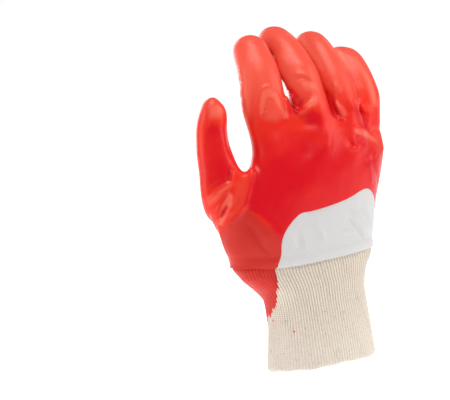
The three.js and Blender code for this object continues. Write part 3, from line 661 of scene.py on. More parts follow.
def soaked_pvc():
    """The same PVC where it has run into the rib knit: the ribs still show, and the skin is rougher."""
    settings = bpy.context.scene.glove_coat
    material, tree, shader = new_material("PVC_soaked_rib_knit")
    place = add_node(tree, "ShaderNodeTexCoord").outputs["Object"]
    ribs = add_node(tree, "ShaderNodeUVMap", uv_map="ribs").outputs[0]
    axes = add_node(tree, "ShaderNodeSeparateXYZ", {0: ribs})
    wave = add_node(tree, "ShaderNodeMath", {0: axes.outputs["X"], 1: 2 * math.pi}, operation="MULTIPLY")
    rib = add_node(tree, "ShaderNodeMath", {0: wave.outputs[0]}, operation="COSINE").outputs[0]
    blots = add_node(
        tree, "ShaderNodeTexNoise", {"Vector": place, "Scale": 1 / SOAK_BLOTS, "Detail": 2.0},
    ).outputs[0]
    # streaks along the ribs, about 2.5 mm wide and 15 mm long
    along = add_node(tree, "ShaderNodeMapping", {0: ribs, 3: (0.5, 0.06, 1.0)}).outputs[0]
    streaks = add_node(tree, "ShaderNodeTexNoise", {"Vector": along, "Scale": 1.6, "Detail": 3.0})
    # the palm side's painted light
    palm = add_node(tree, "ShaderNodeAttribute", attribute_name="palm_light").outputs["Fac"]
    blotched = add_node(tree, "ShaderNodeMapRange", {0: blots, 1: 0.35, 2: 0.7})
    streaked = add_node(tree, "ShaderNodeMapRange", {0: streaks.outputs[0], 1: 0.45, 2: 0.75, 3: 0, 4: 0.5})
    # painted shade in the grooves between the ribs
    groove = add_node(tree, "ShaderNodeMapRange", {0: rib, 1: 0.2, 2: -1.0, 3: 0, 4: 0.7})
    colour = solid(settings.soaked_colour)
    for share, tint in (
        (blotched.outputs[0], solid(settings.thin_colour)), (palm, solid(settings.palm_light_colour)),
        (streaked.outputs[0], linear("#9E1618", 1)), (groove.outputs[0], linear("#AE1418", 1)),
    ):
        mix = add_node(tree, "ShaderNodeMix", {0: share, 6: colour, 7: tint}, data_type="RGBA")
        colour = mix.outputs[2]
    tree.links.new(colour, shader.inputs["Base Color"])
    bump = add_node(tree, "ShaderNodeBump", {"Strength": 0.5, "Distance": 0.4 * MM, "Height": blots})
    tree.links.new(bump.outputs[0], shader.inputs["Normal"])
    shader.inputs["Roughness"].default_value = 0.5
    shader.inputs["IOR"].default_value = 1.52
    shader.inputs["Specular IOR Level"].default_value = 0.35
    shader.inputs["Specular Tint"].default_value = linear("#FFB8A6", 1)
    shader.inputs["Coat Weight"].default_value = 0.05
    shader.inputs["Coat Roughness"].default_value = 0.3
    return material


# Shared mesh work


def smooth(low, high, value):
    """Rise from 0 at low to 1 at high, smoothly. It takes numbers and arrays."""
    t = np.clip((value - low) / (high - low), 0, 1)
    return t * t * (3 - 2 * t)


def select_only(thing):
    """Make the object the active one and the only one that is selected."""
    bpy.ops.object.select_all(action="DESELECT")
    thing.select_set(True)
    bpy.context.view_layer.objects.active = thing


def new_object(name, mesh):
    """Put a mesh in the scene as the only selected object."""
    thing = bpy.data.objects.new(name, mesh)
    bpy.context.scene.collection.objects.link(thing)
    select_only(thing)
    return thing


def bake_modifier(thing, kind, **settings):
    """Add a modifier to the active object and apply it."""
    modifier = thing.modifiers.new(kind.title(), kind)
    for name, value in settings.items():
        setattr(modifier, name, value)
    bpy.ops.object.modifier_apply(modifier=modifier.name)


# The share of its loss that a cage gets back before it is smoothed, the angles at which a skin ends and
# at which two triangles still make a quad, and how near two points are the same.
CAGE_PUSH = 0.8
SKIN_END = math.radians(60)
QUAD_BEND = math.radians(50)
QUAD_SKEW = math.radians(70)
SAME_PLACE = 1e-6


def outer_skin(node, start):
    """Copy a node's mesh and keep the faces of its outside, as quads. start picks the first of them."""
    skin = bmesh.new()
    skin.from_mesh(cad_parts[node].data)
    bmesh.ops.remove_doubles(skin, verts=skin.verts, dist=SAME_PLACE)
    skin.faces.ensure_lookup_table()
    first = max(skin.faces, key=lambda f: start(f.calc_center_median()))
    kept, waiting = {first}, [first]
    while waiting:
        face = waiting.pop()
        for edge in face.edges:
            if edge.calc_face_angle(0) > SKIN_END:
                continue
            for other in edge.link_faces:
                if other not in kept:
                    kept.add(other)
                    waiting.append(other)
    bmesh.ops.delete(skin, geom=[f for f in skin.faces if f not in kept], context="FACES")
    bmesh.ops.join_triangles(
        skin, faces=skin.faces, angle_face_threshold=QUAD_BEND, angle_shape_threshold=QUAD_SKEW,
    )
    mesh = bpy.data.meshes.new(node + "_skin")
    skin.to_mesh(mesh)
    skin.free()
    return mesh


def places(mesh):
    """The mesh's points as an array."""
    flat = np.empty(len(mesh.vertices) * 3)
    mesh.vertices.foreach_get("co", flat)
    return flat.reshape(-1, 3)


def directions(mesh):
    """The normals at the mesh's points as an array."""
    flat = np.empty(len(mesh.vertices) * 3)
    mesh.vertices.foreach_get("normal", flat)
    return flat.reshape(-1, 3)


def set_places(mesh, points):
    """Move the mesh's points to the rows of an array."""
    mesh.vertices.foreach_set("co", points.astype(np.float32).ravel())
    mesh.update()


def subdivide(thing, levels):
    """Subdivide the skin, first pushing its cage out so that the smooth skin passes close to its points."""
    cage = places(thing.data)
    trial = thing.copy()
    trial.data = thing.data.copy()
    bpy.context.scene.collection.objects.link(trial)
    select_only(trial)
    bake_modifier(trial, "SUBSURF", levels=levels, render_levels=levels)
    reached = places(trial.data)[: len(cage)]
    spare = trial.data
    bpy.data.objects.remove(trial)
    bpy.data.meshes.remove(spare)
    set_places(thing.data, cage + CAGE_PUSH * (cage - reached))
    select_only(thing)
    bake_modifier(thing, "SUBSURF", levels=levels, render_levels=levels)


def curve_through(points, step=0.6):
    """Points along a smooth curve through the given ones, about a step apart."""
    if len(points) == 1:
        return list(points)
    ends = [points[0], *points, points[-1]]
    line = []
    for a, b, c, d in zip(ends, ends[1:], ends[2:], ends[3:]):
        count = max(2, math.ceil(math.dist(b, c) / step))
        for k in range(count):
            t = k / count
            line.append(tuple(
                0.5 * (
                    2 * q + (r - p) * t + (2 * p - 5 * q + 4 * r - s) * t * t
                    + (3 * q - p - 3 * r + s) * t ** 3
                )
                for p, q, r, s in zip(a, b, c, d)
            ))
    return line + [points[-1]]


# How far off the glove a ray starts, in metres, and how far a fold is felt, in half widths. Wider than
# BROAD_CREASE, a crease has low banks. Wider than BROAD_FOLD, a fold needs no finer faces.
RAY_START = 0.5
FOLD_REACH = 3.2
BROAD_CREASE = 2.5 * MM
BROAD_FOLD = 3.0 * MM


def within(points, spots, reach):
    """Which points lie in the box round the spots, widened by the reach."""
    return np.all((points > spots.min(0) - reach) & (points < spots.max(0) + reach), axis=1)


def trace_folds(mesh, folds):
    """Lay each fold's line on the mesh: its half width, height, points, and the skin's directions there."""
    skin = bmesh.new()
    skin.from_mesh(mesh)
    tree = BVHTree.FromBMesh(skin)
    traced = []
    for side, rows in folds.items():
        across, up, ahead = VIEWS[side]
        for width, height, points in rows:
            spots, facing = [], []
            for a, b in curve_through(points):
                hit, normal, _, _ = tree.ray_cast((across * a + up * b) * MM - ahead * RAY_START, ahead)
                if hit is not None:
                    spots.append(hit)
                    facing.append(normal)
            if spots:
                traced.append((width * MM, height * MM, np.array(spots), np.array(facing)))
    skin.free()
    return traced


def fold_heights(points, normals, traced):
    """How far each point of the skin is lifted by the folds."""
    lift = np.zeros(len(points))
    for width, height, spots, facing in traced:
        near = np.where(within(points, spots, FOLD_REACH * width))[0]
        if len(near) == 0:
            continue
        gaps = np.linalg.norm(points[near][:, None, :] - spots[None, :, :], axis=2)
        nearest = gaps.argmin(1)
        far = gaps[np.arange(len(near)), nearest] / width
        along = nearest / max(1, len(spots) - 1)
        taper = 1.0 if len(spots) < 12 else smooth(-0.05, 0.3, along) * smooth(1.05, 0.7, along)
        agree = smooth(-0.1, 0.45, np.einsum("ij,ij->i", normals[near], facing[nearest]))
        shape = np.exp(-far * far)
        if height < 0:
            shape -= (0.3 if width < BROAD_CREASE else 0.1) * np.exp(-((far - 2.0) ** 2) * 1.6)
        lift[near] += height * shape * taper * agree
    return lift


def zone_shares(sight, facing, kind):
    """How strongly each point lies in the zones of a kind. sight holds its places across and up the view."""
    share = np.zeros(len(sight))
    for soft, strength, outline in ZONES[kind]:
        corners = np.array(outline)
        near = np.where(within(sight[:, :2], corners, soft) & (facing > 0))[0]
        if len(near) == 0:
            continue
        spots = sight[near, :2]
        inside = np.zeros(len(near), bool)
        gap = np.full(len(near), 1e9)
        for a, b in zip(corners, np.roll(corners, -1, axis=0)):
            step = b - a
            along = np.clip(((spots - a) @ step) / (step @ step), 0, 1)
            gap = np.minimum(gap, np.linalg.norm(spots - a - along[:, None] * step, axis=1))
            crosses = (spots[:, 1] < a[1]) != (spots[:, 1] < b[1])
            rise = step[1] if step[1] else 1e-9
            inside ^= crosses & (spots[:, 0] < a[0] + (spots[:, 1] - a[1]) * step[0] / rise)
        depth = np.where(inside, gap, -gap)
        share[near] = np.maximum(share[near], strength * smooth(-soft, soft, depth))
    return share * smooth(0.0, 0.3, facing)


def refine_near(thing, traced, reach=2.0):
    """Split the faces that lie near a fold once more."""
    mesh = bmesh.new()
    mesh.from_mesh(thing.data)
    mesh.verts.ensure_lookup_table()
    points = places(thing.data)
    wanted = np.zeros(len(points), bool)
    for width, height, spots, _ in traced:
        if width > BROAD_FOLD:
            continue
        band = reach * width
        near = np.where(within(points, spots, band))[0]
        if len(near):
            gaps = np.linalg.norm(points[near][:, None, :] - spots[None, :, :], axis=2).min(1)
            wanted[near[gaps < band]] = True
    edges = [e for e in mesh.edges if wanted[e.verts[0].index] and wanted[e.verts[1].index]]
    bmesh.ops.subdivide_edges(mesh, edges=edges, cuts=1, use_grid_fill=True, smooth=1.0)
    mesh.to_mesh(thing.data)
    mesh.free()


def swell(points, size, seed):
    """A soft unevenness of the skin between -1 and 1, with lumps of about the given size."""
    value = np.zeros(len(points))
    for k in range(5):
        turn = np.array([
            math.sin(1.7 * k + seed),
            math.cos(2.3 * k + 1.3 * seed),
            math.sin(0.9 * k + 2.1 * seed + 1.0),
        ])
        turn /= np.linalg.norm(turn)
        value += np.sin(points @ turn * (2 * math.pi / size) * (0.8 + 0.13 * k) + 1.9 * k + seed)
    return value / 5


# Heights over the cuff's rim: about where the hem lies, and what no point of the hem reaches.
HEM_LEVEL = 0.072
HEM_TOP = 0.08


def hem_points():
    """The lower edge of the hand's hem, as points round the wrist."""
    found = []
    for node, start in (("pvc_coating", lambda c: c.z), ("jersey_back", lambda c: -c.y)):
        mesh = outer_skin(node, start)
        skin = bmesh.new()
        skin.from_mesh(mesh)
        for edge in skin.edges:
            if edge.is_boundary:
                a, b = (v.co for v in edge.verts)
                if max(a.z, b.z) < HEM_TOP and abs(a.z - b.z) < 0.6 * (a - b).length:
                    found += [tuple(a), tuple(b)]
        skin.free()
        bpy.data.meshes.remove(mesh)
    return np.array(found)


def attribute(mesh, name, values):
    """Give the mesh a value at each point, for its material to read."""
    layer = mesh.attributes.new(name, "FLOAT", "POINT")
    layer.data.foreach_set("value", values.astype(np.float32))


def set_materials(thing, *materials):
    """Put the given materials in the object's slots, in order."""
    thing.data.materials.clear()
    for material in materials:
        thing.data.materials.append(material)


def shade(thing, angle=50):
    """Shade the object smooth, with the edges sharper than the angle kept."""
    select_only(thing)
    bpy.ops.object.shade_smooth_by_angle(angle=math.radians(angle))


def hem_relief(points, hem, height):
    """The turned hem: a soft roll at its lower edge and a groove where it is caught down."""
    low = np.where(points[:, 2] < 0.1)[0]
    lift = np.zeros(len(points))
    gap = np.linalg.norm(points[low][:, None, :] - hem[None, :, :], axis=2).min(1)
    lift[low] = (
        0.45 * MM * np.exp(-((gap - 0.45 * height) / (0.42 * height)) ** 2)
        - 0.4 * MM * np.exp(-((gap - height) / (0.16 * height)) ** 2)
        - 0.7 * MM * np.clip(1 - gap / (1.2 * MM), 0, 1) ** 2
    )
    return lift


# The coated hand


def seen_from_back(points):
    """The points' places across, up and along the photograph's view, in millimetres."""
    return points @ np.array([RIGHT, UP, AHEAD]).T / MM


def palm_light_share(normals):
    """How far each point has the palm side's painted light, a more orange red."""
    return smooth(-0.2, 0.7, normals[:, 1]) * 0.85


class GLOVE_OT_coated_hand(bpy.types.Operator):
    """Build the dipped hand: a smooth skin with its folds, a turned hem and a jersey-lined wall"""
    bl_idname = "glove.coated_hand"
    bl_label = "Coated hand"

    def execute(self, context):
        settings = context.scene.glove_coat
        skin = outer_skin("pvc_coating", lambda c: c.z)
        cage = bmesh.new()
        cage.from_mesh(skin)
        # the palm under the fingers is soft, with no step
        palm = [v for v in cage.verts if v.co.y > 0.012 and 0.112 < v.co.z < 0.148]
        for _ in range(4):
            bmesh.ops.smooth_vert(
                cage, verts=palm, factor=0.5, use_axis_x=True, use_axis_y=True, use_axis_z=True,
            )
        cage.to_mesh(skin)
        cage.free()
        hand = new_object("coated_hand", skin)
        subdivide(hand, 2)
        traced = trace_folds(hand.data, FOLDS)
        refine_near(hand, traced)
        mesh = hand.data
        points, normals = places(mesh), directions(mesh)
        lift = fold_heights(points, normals, traced)
        lift += 0.35 * MM * swell(points, 0.034, 1.0) + 0.14 * MM * swell(points, 0.013, 4.0)
        lift += 0.6 * hem_relief(points, hem_points(), settings.hem)
        points = points + normals * lift[:, None]
        sight = seen_from_back(points)
        for (a, b), (wide, high), (along, up) in PULLS:
            share = np.exp(-((sight[:, 0] - a) / wide) ** 2 - ((sight[:, 1] - b) / high) ** 2)
            points = points + (np.array(RIGHT) * along + np.array(UP) * up) * MM * share[:, None]
        set_places(mesh, points)
        sight = seen_from_back(points)
        facing = -(normals @ np.array(AHEAD))
        # painted light on the palm side
        attribute(mesh, "palm_light", palm_light_share(normals))
        # the zones' edges wander a little
        wander = 4 * swell(points, 0.03, 7.0)
        ease = sight + wander[:, None] * np.array([0.2, 0.15, 0.0])
        attribute(mesh, "thin_coat", zone_shares(ease, facing, "thin"))
        # painted shade over the back, darker towards the bottom
        painted_shade = zone_shares(ease, facing, "painted_shade") * smooth(182, 128, sight[:, 1])
        # painted shade in the hollows
        hollow_shade = zone_shares(ease, facing, "hollow_shade")
        attribute(mesh, "painted_shade_share", np.maximum(painted_shade, hollow_shade))
        # painted highlight over all the bent fingers, where the coat is also stretched
        finger_highlight = 0.45 * smooth(166, 200, sight[:, 1]) * smooth(0.0, 0.3, facing)
        attribute(mesh, "stretch_highlight_share", np.maximum(zone_shares(ease, facing, "stretch_highlight"), finger_highlight) * (1 - hollow_shade))
        bake_modifier(
            hand, "SOLIDIFY", thickness=settings.wall, offset=-1, material_offset=1, use_even_offset=False,
        )
        set_materials(hand, dipped_pvc(), bleached_jersey("Jersey_liner", 0.6))
        shade(hand)
        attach(hand, "root")
        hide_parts("pvc_coating")
        return {"FINISHED"}


def rounded(place):
    """A place that can be looked up, to a ten-thousandth of a millimetre."""
    return tuple(round(c, 7) for c in place)


class GLOVE_OT_jersey_panel(bpy.types.Operator):
    """Build the bare jersey over the back of the hand, which runs on under the coat"""
    bl_idname = "glove.jersey_panel"
    bl_label = "Bare jersey"

    def execute(self, context):
        settings = context.scene.glove_jersey
        panel = new_object("jersey_panel", outer_skin("jersey_back", lambda c: -c.y))
        subdivide(panel, 3)
        hem = hem_points()
        mesh = bmesh.new()
        mesh.from_mesh(panel.data)
        rims = [e for e in mesh.edges if e.is_boundary]
        away = {}
        for edge in rims:
            face = edge.link_faces[0]
            middle = (edge.verts[0].co + edge.verts[1].co) / 2
            out = middle - face.calc_center_median()
            line = (edge.verts[1].co - edge.verts[0].co).normalized()
            out = (out - line * out.dot(line)).normalized()
            for v in edge.verts:
                away.setdefault(v.index, []).append(out)
        keep = [e for e in rims if not all(
            sum(away[v.index], Vector()).normalized().z < -0.5 and v.co.z < 0.083 for v in e.verts
        )]
        grown = bmesh.ops.extrude_edge_only(mesh, edges=keep)["geom"]
        mesh.verts.ensure_lookup_table()
        old = {rounded(mesh.verts[i].co): i for i in away}
        for v in grown:
            if isinstance(v, bmesh.types.BMVert):
                i = old.get(rounded(v.co))
                if i is not None:
                    out = sum(away[i], Vector()).normalized()
                    v.co += out * settings.lap - mesh.verts[i].normal * 0.1 * MM
        bmesh.ops.recalc_face_normals(mesh, faces=mesh.faces)
        if sum(f.normal.y for f in mesh.faces) > 0:
            bmesh.ops.reverse_faces(mesh, faces=mesh.faces)
        mesh.to_mesh(panel.data)
        mesh.free()
        traced = trace_folds(panel.data, PANEL_FOLDS)
        points, normals = places(panel.data), directions(panel.data)
        lift = fold_heights(points, normals, traced) + 0.2 * MM * swell(points, 0.03, 2.0)
        lift += 0.5 * hem_relief(points, hem, context.scene.glove_coat.hem)
        set_places(panel.data, points + normals * lift[:, None])
        bake_modifier(panel, "SOLIDIFY", thickness=settings.wall, offset=-1, use_even_offset=False)
        set_materials(panel, bleached_jersey())
        shade(panel)
        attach(panel, "root")
        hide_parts("jersey_back")
        return {"FINISHED"}


# The knit cuff


# The cuff is read by rays round it, level by level. A ray that jumps by more than WALL_JUMP keeps the
# last level's reach, and the ribs are smoothed away over BLUR_REACH rays to each side. LOOP_HEIGHT is
# one loop of the knit, and CREST_MEAN is about the mean height of a rib's section.
COLUMNS_PER_RIB = 6
RAY_COUNT = 360
LEVEL_STEP = 1.5 * MM
WALL_JUMP = 4 * MM
BLUR_REACH = 9
BLUR_WIDTH = 3.6
SLOPE_COLUMNS = 3
LOOP_HEIGHT = 1.4 * MM
CREST_MEAN = 0.72


class CuffShape:
    """The cuff's surface without its ribs, read from the frame's solid, and the hem's height round it."""

    def __init__(self, columns):
        solid_mesh = bmesh.new()
        solid_mesh.from_mesh(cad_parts["knit_cuff"].data)
        tree = BVHTree.FromBMesh(solid_mesh)
        low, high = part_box("knit_cuff")
        self.levels = np.arange(low[2] + 0.4 * MM, high[2] - 0.2 * MM, LEVEL_STEP)
        angles = np.arange(RAY_COUNT) * 2 * math.pi / RAY_COUNT
        rows, last = [], None
        for z in self.levels:
            reach = np.full(RAY_COUNT, np.nan)
            for k, angle in enumerate(angles):
                ray = Vector((-math.cos(angle), -math.sin(angle), 0))
                hit = tree.ray_cast(Vector((0, 0, z)) - ray * 0.2, ray)[0]
                if hit is not None:
                    reach[k] = math.hypot(hit.x, hit.y)
            if last is not None:
                short = np.isnan(reach) | (np.abs(reach - last) > WALL_JUMP)
                reach[short] = last[short]
            last = reach.copy()
            wide = np.arange(-BLUR_REACH, BLUR_REACH + 1)
            weights = np.exp(-(wide / BLUR_WIDTH) ** 2)
            weights /= weights.sum()
            rows.append(sum(w * np.roll(reach, -k) for w, k in zip(weights, wide)))
        solid_mesh.free()
        self.columns = columns
        shares = np.arange(columns) / columns
        grid = []
        for row in rows:
            loop = np.stack([row * np.cos(angles), row * np.sin(angles)], axis=1)
            start = int(RAY_COUNT * 0.75)
            loop = np.roll(loop, -start, axis=0)
            steps = np.linalg.norm(np.roll(loop, -1, axis=0) - loop, axis=1)
            run = np.concatenate([[0], np.cumsum(steps)])
            closed = np.concatenate([loop, loop[:1]])
            along = shares * run[-1]
            grid.append(np.stack([np.interp(along, run, closed[:, i]) for i in (0, 1)], axis=1))
        self.grid = np.array(grid)
        hem = hem_points()
        turns = np.arctan2(hem[:, 1], hem[:, 0]) % (2 * math.pi)
        order = turns.argsort()
        top = self.at(np.full(columns, HEM_LEVEL), np.arange(columns))
        around = np.arctan2(top[:, 1], top[:, 0]) % (2 * math.pi)
        self.hem = np.interp(around, turns[order], hem[order][:, 2], period=2 * math.pi)

    def at(self, heights, columns):
        """Places on the surface at heights in metres and whole columns."""
        spot = np.clip((heights - self.levels[0]) / LEVEL_STEP, 0, len(self.levels) - 1.001)
        low = spot.astype(int)
        share = (spot - low)[:, None]
        flat = self.grid[low, columns] * (1 - share) + self.grid[low + 1, columns] * share
        return np.concatenate([flat, heights[:, None]], axis=1)

    def outward(self, heights, columns):
        """Level directions out of the surface."""
        after = self.at(heights, (columns + SLOPE_COLUMNS) % self.columns)
        ahead = after - self.at(heights, (columns - SLOPE_COLUMNS) % self.columns)
        out = np.stack([ahead[:, 1], -ahead[:, 0], np.zeros(len(ahead))], axis=1)
        return out / np.linalg.norm(out, axis=1)[:, None]


def rib_phase(columns, heights):
    """The ribs counted round the cuff at each place. They wander a little on their way up."""
    return columns / COLUMNS_PER_RIB + 0.1 * np.sin(heights / 0.017 + columns * 0.05)


def rib_crest(columns, heights):
    """A rib's section, between 0 in the groove and 1 on the crest."""
    return np.abs(np.cos(math.pi * rib_phase(columns, heights))) ** 0.6


def rib_uvs(columns, heights):
    """Ribs counted across and loops counted up, for the knit's pattern."""
    return np.stack([rib_phase(columns, heights), heights / LOOP_HEIGHT], axis=1)


def pressed(drop):
    """The share of its height that a rib keeps near the hem. drop is the distance under the hem's edge."""
    return 0.55 + 0.45 * smooth(0.5 * MM, 4 * MM, drop)


def under_hem(drop):
    """How far the knit is blown out where it leaves the hem. drop is the distance under the hem's edge."""
    return 1.6 * MM * smooth(-1.8 * MM, 0.8 * MM, drop) * smooth(12 * MM, 2 * MM, drop)


def closed_band(name, rings, uvs, wrap):
    """A body from rings of points, each one way up the outside and down the inside. wrap joins the last
    ring to the first."""
    rings, uvs = (np.array(rows).transpose(1, 0, 2) for rows in (rings, uvs))
    count, size = rings.shape[:2]
    faces, flat = [], []
    for c in range(count if wrap else count - 1):
        n = (c + 1) % count
        for r in range(size):
            s = (r + 1) % size
            faces.append((c * size + r, n * size + r, n * size + s, c * size + s))
            for column, row in ((c, r), (c + 1, r), (c + 1, s), (c, s)):
                full_turn = (uvs[1, row, 0] - uvs[0, row, 0]) * (count if column == count else 0)
                flat += [uvs[column % count, row, 0] + full_turn, uvs[column % count, row, 1]]
    mesh = bpy.data.meshes.new(name)
    mesh.from_pydata([tuple(p) for p in rings.reshape(-1, 3)], [], faces)
    mesh.uv_layers.new(name="ribs").data.foreach_set("uv", flat)
    mesh.update()
    return mesh


class GLOVE_OT_rib_cuff(bpy.types.Operator):
    """Build the ribbed knit cuff: a closed wall with ribs, a wavy lower edge and its top inside the hem"""
    bl_idname = "glove.rib_cuff"
    bl_label = "Rib cuff"

    def execute(self, context):
        settings = context.scene.glove_cuff
        count = settings.ribs * COLUMNS_PER_RIB
        shape = CuffShape(count)
        columns = np.arange(count)
        crest0 = rib_crest(columns, np.zeros(count))
        turn = columns / count * 2 * math.pi
        foot = MM * (0.5 + 0.35 * np.sin(5 * turn + 1) + 0.25 * np.sin(13 * turn) - 0.3 * crest0)
        top = shape.hem + 4.5 * MM
        outer = np.linspace(0, 1, 58)
        inner = np.linspace(1, 0, 20)
        edge = 0.3 * settings.wall
        profile = [(t, 0.0, 1.0) for t in outer] + [(t, settings.wall, 0.4) for t in inner]
        rings, uvs = [], []
        for t, inset, strength in profile:
            heights = foot + (top - foot) * t
            base, out = shape.at(heights, columns), shape.outward(heights, columns)
            away = np.minimum(heights - foot, top - heights)
            bevel = edge * (1 - np.sqrt(np.clip(1 - (1 - np.clip(away / edge, 0, 1)) ** 2, 0, 1)))
            relief = strength * settings.rib_depth * (rib_crest(columns, heights) - CREST_MEAN)
            relief *= pressed(shape.hem - heights)
            offset = relief - inset + (bevel if inset else -bevel) + under_hem(shape.hem - heights)
            rings.append(base + out * offset[:, None])
            uvs.append(rib_uvs(columns, heights))
        mesh = closed_band("rib_cuff", rings, uvs, wrap=True)
        cuff = new_object("rib_cuff", mesh)
        points, speck = places(mesh), np.zeros(len(mesh.vertices))
        for _, _, spots, _ in trace_folds(mesh, {"back": [(1, 1, (spot,)) for spot in SPATTER]}):
            gap = np.linalg.norm(points - spots[0], axis=1) / MM
            speck = np.maximum(speck, smooth(1.5 * SPATTER_SIZE, 0.7 * SPATTER_SIZE, gap))
        attribute(mesh, "spatter", speck)
        set_materials(cuff, rib_knit())
        shade(cuff, 80)
        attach(cuff, "root")
        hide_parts("knit_cuff")
        return {"FINISHED"}


class GLOVE_OT_soaked_ribs(bpy.types.Operator):
    """Build the coat that has soaked into the cuff's ribs, with its ragged lower edge"""
    bl_idname = "glove.soaked_ribs"
    bl_label = "Soaked ribs"

    def execute(self, context):
        settings = context.scene.glove_cuff
        count = settings.ribs * COLUMNS_PER_RIB
        shape = CuffShape(count)
        marks = np.array(SOAK_EDGE)
        first, last = round(marks[0, 0] * count), round(marks[-1, 0] * count)
        columns = np.arange(first, last + 1)
        edge = np.interp(columns / count, marks[:, 0], marks[:, 1]) * MM
        rib = columns / COLUMNS_PER_RIB
        streak = 1.3 * np.sin(rib * 2.1) * np.sin(rib * 0.77 + 1)
        streak += 1.1 * np.sin(rib * 5.3 + 2) * np.cos(rib * 1.9)
        streak += 0.7 * np.sin(rib * 9.7) * np.sin(rib * 3.1 + 2)
        edge = edge + MM * (streak + 0.8 * (rib_crest(columns, edge) - 0.5))
        top = shape.hem[columns] + 1.5 * MM
        edge = np.minimum(edge, top - 2 * MM)
        steps = np.linspace(0, 1, 40) ** 1.3
        rings, uvs = [], []
        ends = np.minimum(columns - first, last - columns) / COLUMNS_PER_RIB
        for t, outside in [(t, True) for t in steps] + [(t, False) for t in steps[::-1]]:
            heights = edge + (top - edge) * t
            base, out = shape.at(heights, columns), shape.outward(heights, columns)
            crest = rib_crest(columns, heights) - CREST_MEAN
            crest *= pressed(shape.hem[columns] - heights)
            base = base + out * under_hem(shape.hem[columns] - heights)[:, None]
            under = settings.rib_depth * crest - 0.5 * MM
            thick = smooth(0, 3 * MM, heights - edge) * smooth(0, 1.2, ends)
            over = 0.6 * settings.rib_depth * crest + (settings.soak + 0.4 * MM) * thick - 0.4 * MM
            over = np.where(ends == 0, under, np.maximum(over, under + 0.02 * MM))
            offset = over if outside else under
            rings.append(base + out * offset[:, None])
            uvs.append(rib_uvs(columns, heights))
        mesh = closed_band("soaked_ribs", rings, uvs, wrap=False)
        work = bmesh.new()
        work.from_mesh(mesh)
        bmesh.ops.remove_doubles(work, verts=work.verts, dist=SAME_PLACE)
        bmesh.ops.recalc_face_normals(work, faces=work.faces)
        work.to_mesh(mesh)
        work.free()
        ribs = new_object("soaked_ribs", mesh)
        attribute(mesh, "palm_light", palm_light_share(directions(mesh)))
        set_materials(ribs, soaked_pvc())
        shade(ribs, 80)
        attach(ribs, "root")
        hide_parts("cuff_coating")
        return {"FINISHED"}


# Stage


# Soft lights round the hand: places along, across and up the view in metres, side of the square in
# metres, and watts.
SOFT_LIGHTS = (
    ("top", (-0.35, 0.15, 1.4), 0.9, 17),
    ("left", (-0.25, -1.3, 0.4), 0.8, 6),
    ("right", (-0.15, 1.3, 0.6), 0.8, 6),
    ("rim", (1.1, -0.7, 0.5), 0.8, 6),
)
HAND_CENTRE = Vector((0, 0, 0.12))

# Half the floor's side, the camera's distance in metres, its lens, sensor and reach, and where it aims:
# across and up the rolled view, in millimetres.
FLOOR_REACH = 12.0
CAMERA_DISTANCE = 6.9
CAMERA_LENS = 800
CAMERA_SENSOR = 36
CAMERA_REACH = 50
CAMERA_AIM = (-66.6, 111.4)


def soft_light(name, place, aim, size, power):
    """A square soft light that looks at a place."""
    light = bpy.data.lights.new(name, "AREA")
    light.size = size
    light.energy = power
    lamp = bpy.data.objects.new(name, light)
    lamp.location = place
    lamp.rotation_euler = (Vector(aim) - Vector(place)).to_track_quat("-Z", "Y").to_euler()
    bpy.context.scene.collection.objects.link(lamp)


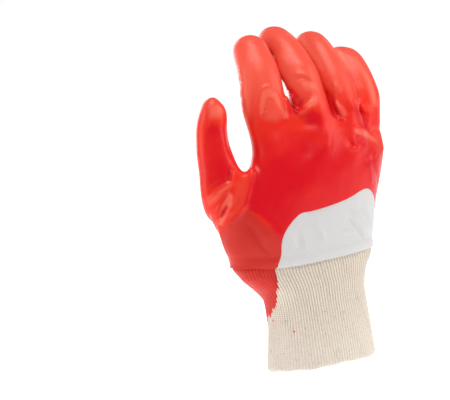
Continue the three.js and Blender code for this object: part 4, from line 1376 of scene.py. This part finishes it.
class GLOVE_OT_stage(bpy.types.Operator):
    """Build the pale floor, the soft lights and the camera of the photograph"""
    bl_idname = "glove.stage"
    bl_label = "Stage"

    def execute(self, context):
        settings = context.scene.glove_stage
        mesh = bpy.data.meshes.new("floor")
        around = ((-1, -1), (1, -1), (1, 1), (-1, 1))
        corners = [(x * FLOOR_REACH, y * FLOOR_REACH, -settings.drop) for x, y in around]
        mesh.from_pydata(corners, [], [(0, 1, 2, 3)])
        floor = new_object("floor", mesh)
        material, tree, shader = new_material("Matt_white_paper")
        shader.inputs["Base Color"].default_value = solid(settings.floor_colour)
        shader.inputs["Roughness"].default_value = 0.9
        shader.inputs["Emission Color"].default_value = solid(settings.floor_colour)
        shader.inputs["Emission Strength"].default_value = 0.75
        set_materials(floor, material)
        world = bpy.data.worlds.new("white_room")
        context.scene.world = world
        world.use_nodes = True
        sky = world.node_tree.nodes["Background"]
        sky.inputs["Color"].default_value = (1, 1, 1, 1)
        sky.inputs["Strength"].default_value = 0.25
        for name, (along, right, up), size, power in SOFT_LIGHTS:
            place = HAND_CENTRE + AHEAD * along + RIGHT * right + UP * up
            soft_light(name, place, HAND_CENTRE, size, power)
        across = RIGHT * math.cos(ROLL) - UP * math.sin(ROLL)
        above = RIGHT * math.sin(ROLL) + UP * math.cos(ROLL)
        aim = (across * CAMERA_AIM[0] + above * CAMERA_AIM[1]) * MM
        camera = bpy.data.cameras.new("camera")
        camera.lens = CAMERA_LENS
        camera.sensor_width = CAMERA_SENSOR
        camera.clip_end = CAMERA_REACH
        eye = bpy.data.objects.new("camera", camera)
        turn = Matrix((across, above, -AHEAD)).transposed()
        eye.matrix_world = Matrix.Translation(aim - AHEAD * CAMERA_DISTANCE) @ turn.to_4x4()
        context.scene.collection.objects.link(eye)
        context.scene.camera = eye
        context.scene.view_settings.view_transform = "Standard"
        return {"FINISHED"}


# Add-on


class GLOVE_PT_sidebar(bpy.types.Panel):
    """The glove's sizes, colours and pieces"""
    bl_label = "Coated work glove"
    bl_idname = "GLOVE_PT_sidebar"
    bl_space_type = "VIEW_3D"
    bl_region_type = "UI"
    bl_category = "Glove"

    def draw(self, context):
        for group, operators in PANEL_ROWS:
            settings = getattr(context.scene, group)
            box = self.layout.box()
            for name in settings.__annotations__:
                box.prop(settings, name)
            for operator in operators:
                box.operator(operator)


GROUPS = {
    "glove_coat": CoatSettings,
    "glove_jersey": JerseySettings,
    "glove_cuff": CuffSettings,
    "glove_stage": StageSettings,
}
PANEL_ROWS = (
    ("glove_coat", ("glove.coated_hand",)),
    ("glove_jersey", ("glove.jersey_panel",)),
    ("glove_cuff", ("glove.rib_cuff", "glove.soaked_ribs")),
    ("glove_stage", ("glove.stage",)),
)
CLASSES = (
    *GROUPS.values(),
    GLOVE_OT_coated_hand, GLOVE_OT_jersey_panel, GLOVE_OT_rib_cuff, GLOVE_OT_soaked_ribs,
    GLOVE_OT_stage, GLOVE_PT_sidebar,
)


def register():
    for cls in CLASSES:
        bpy.utils.register_class(cls)
    for name, group in GROUPS.items():
        setattr(bpy.types.Scene, name, bpy.props.PointerProperty(type=group))


def unregister():
    for name in GROUPS:
        delattr(bpy.types.Scene, name)
    for cls in reversed(CLASSES):
        bpy.utils.unregister_class(cls)


def main():
    register()
    bpy.ops.object.select_all(action="DESELECT")
    bpy.ops.glove.stage()
    bpy.ops.glove.coated_hand()
    bpy.ops.glove.jersey_panel()
    bpy.ops.glove.rib_cuff()
    bpy.ops.glove.soaked_ribs()


if __name__ == "__main__":
    main()
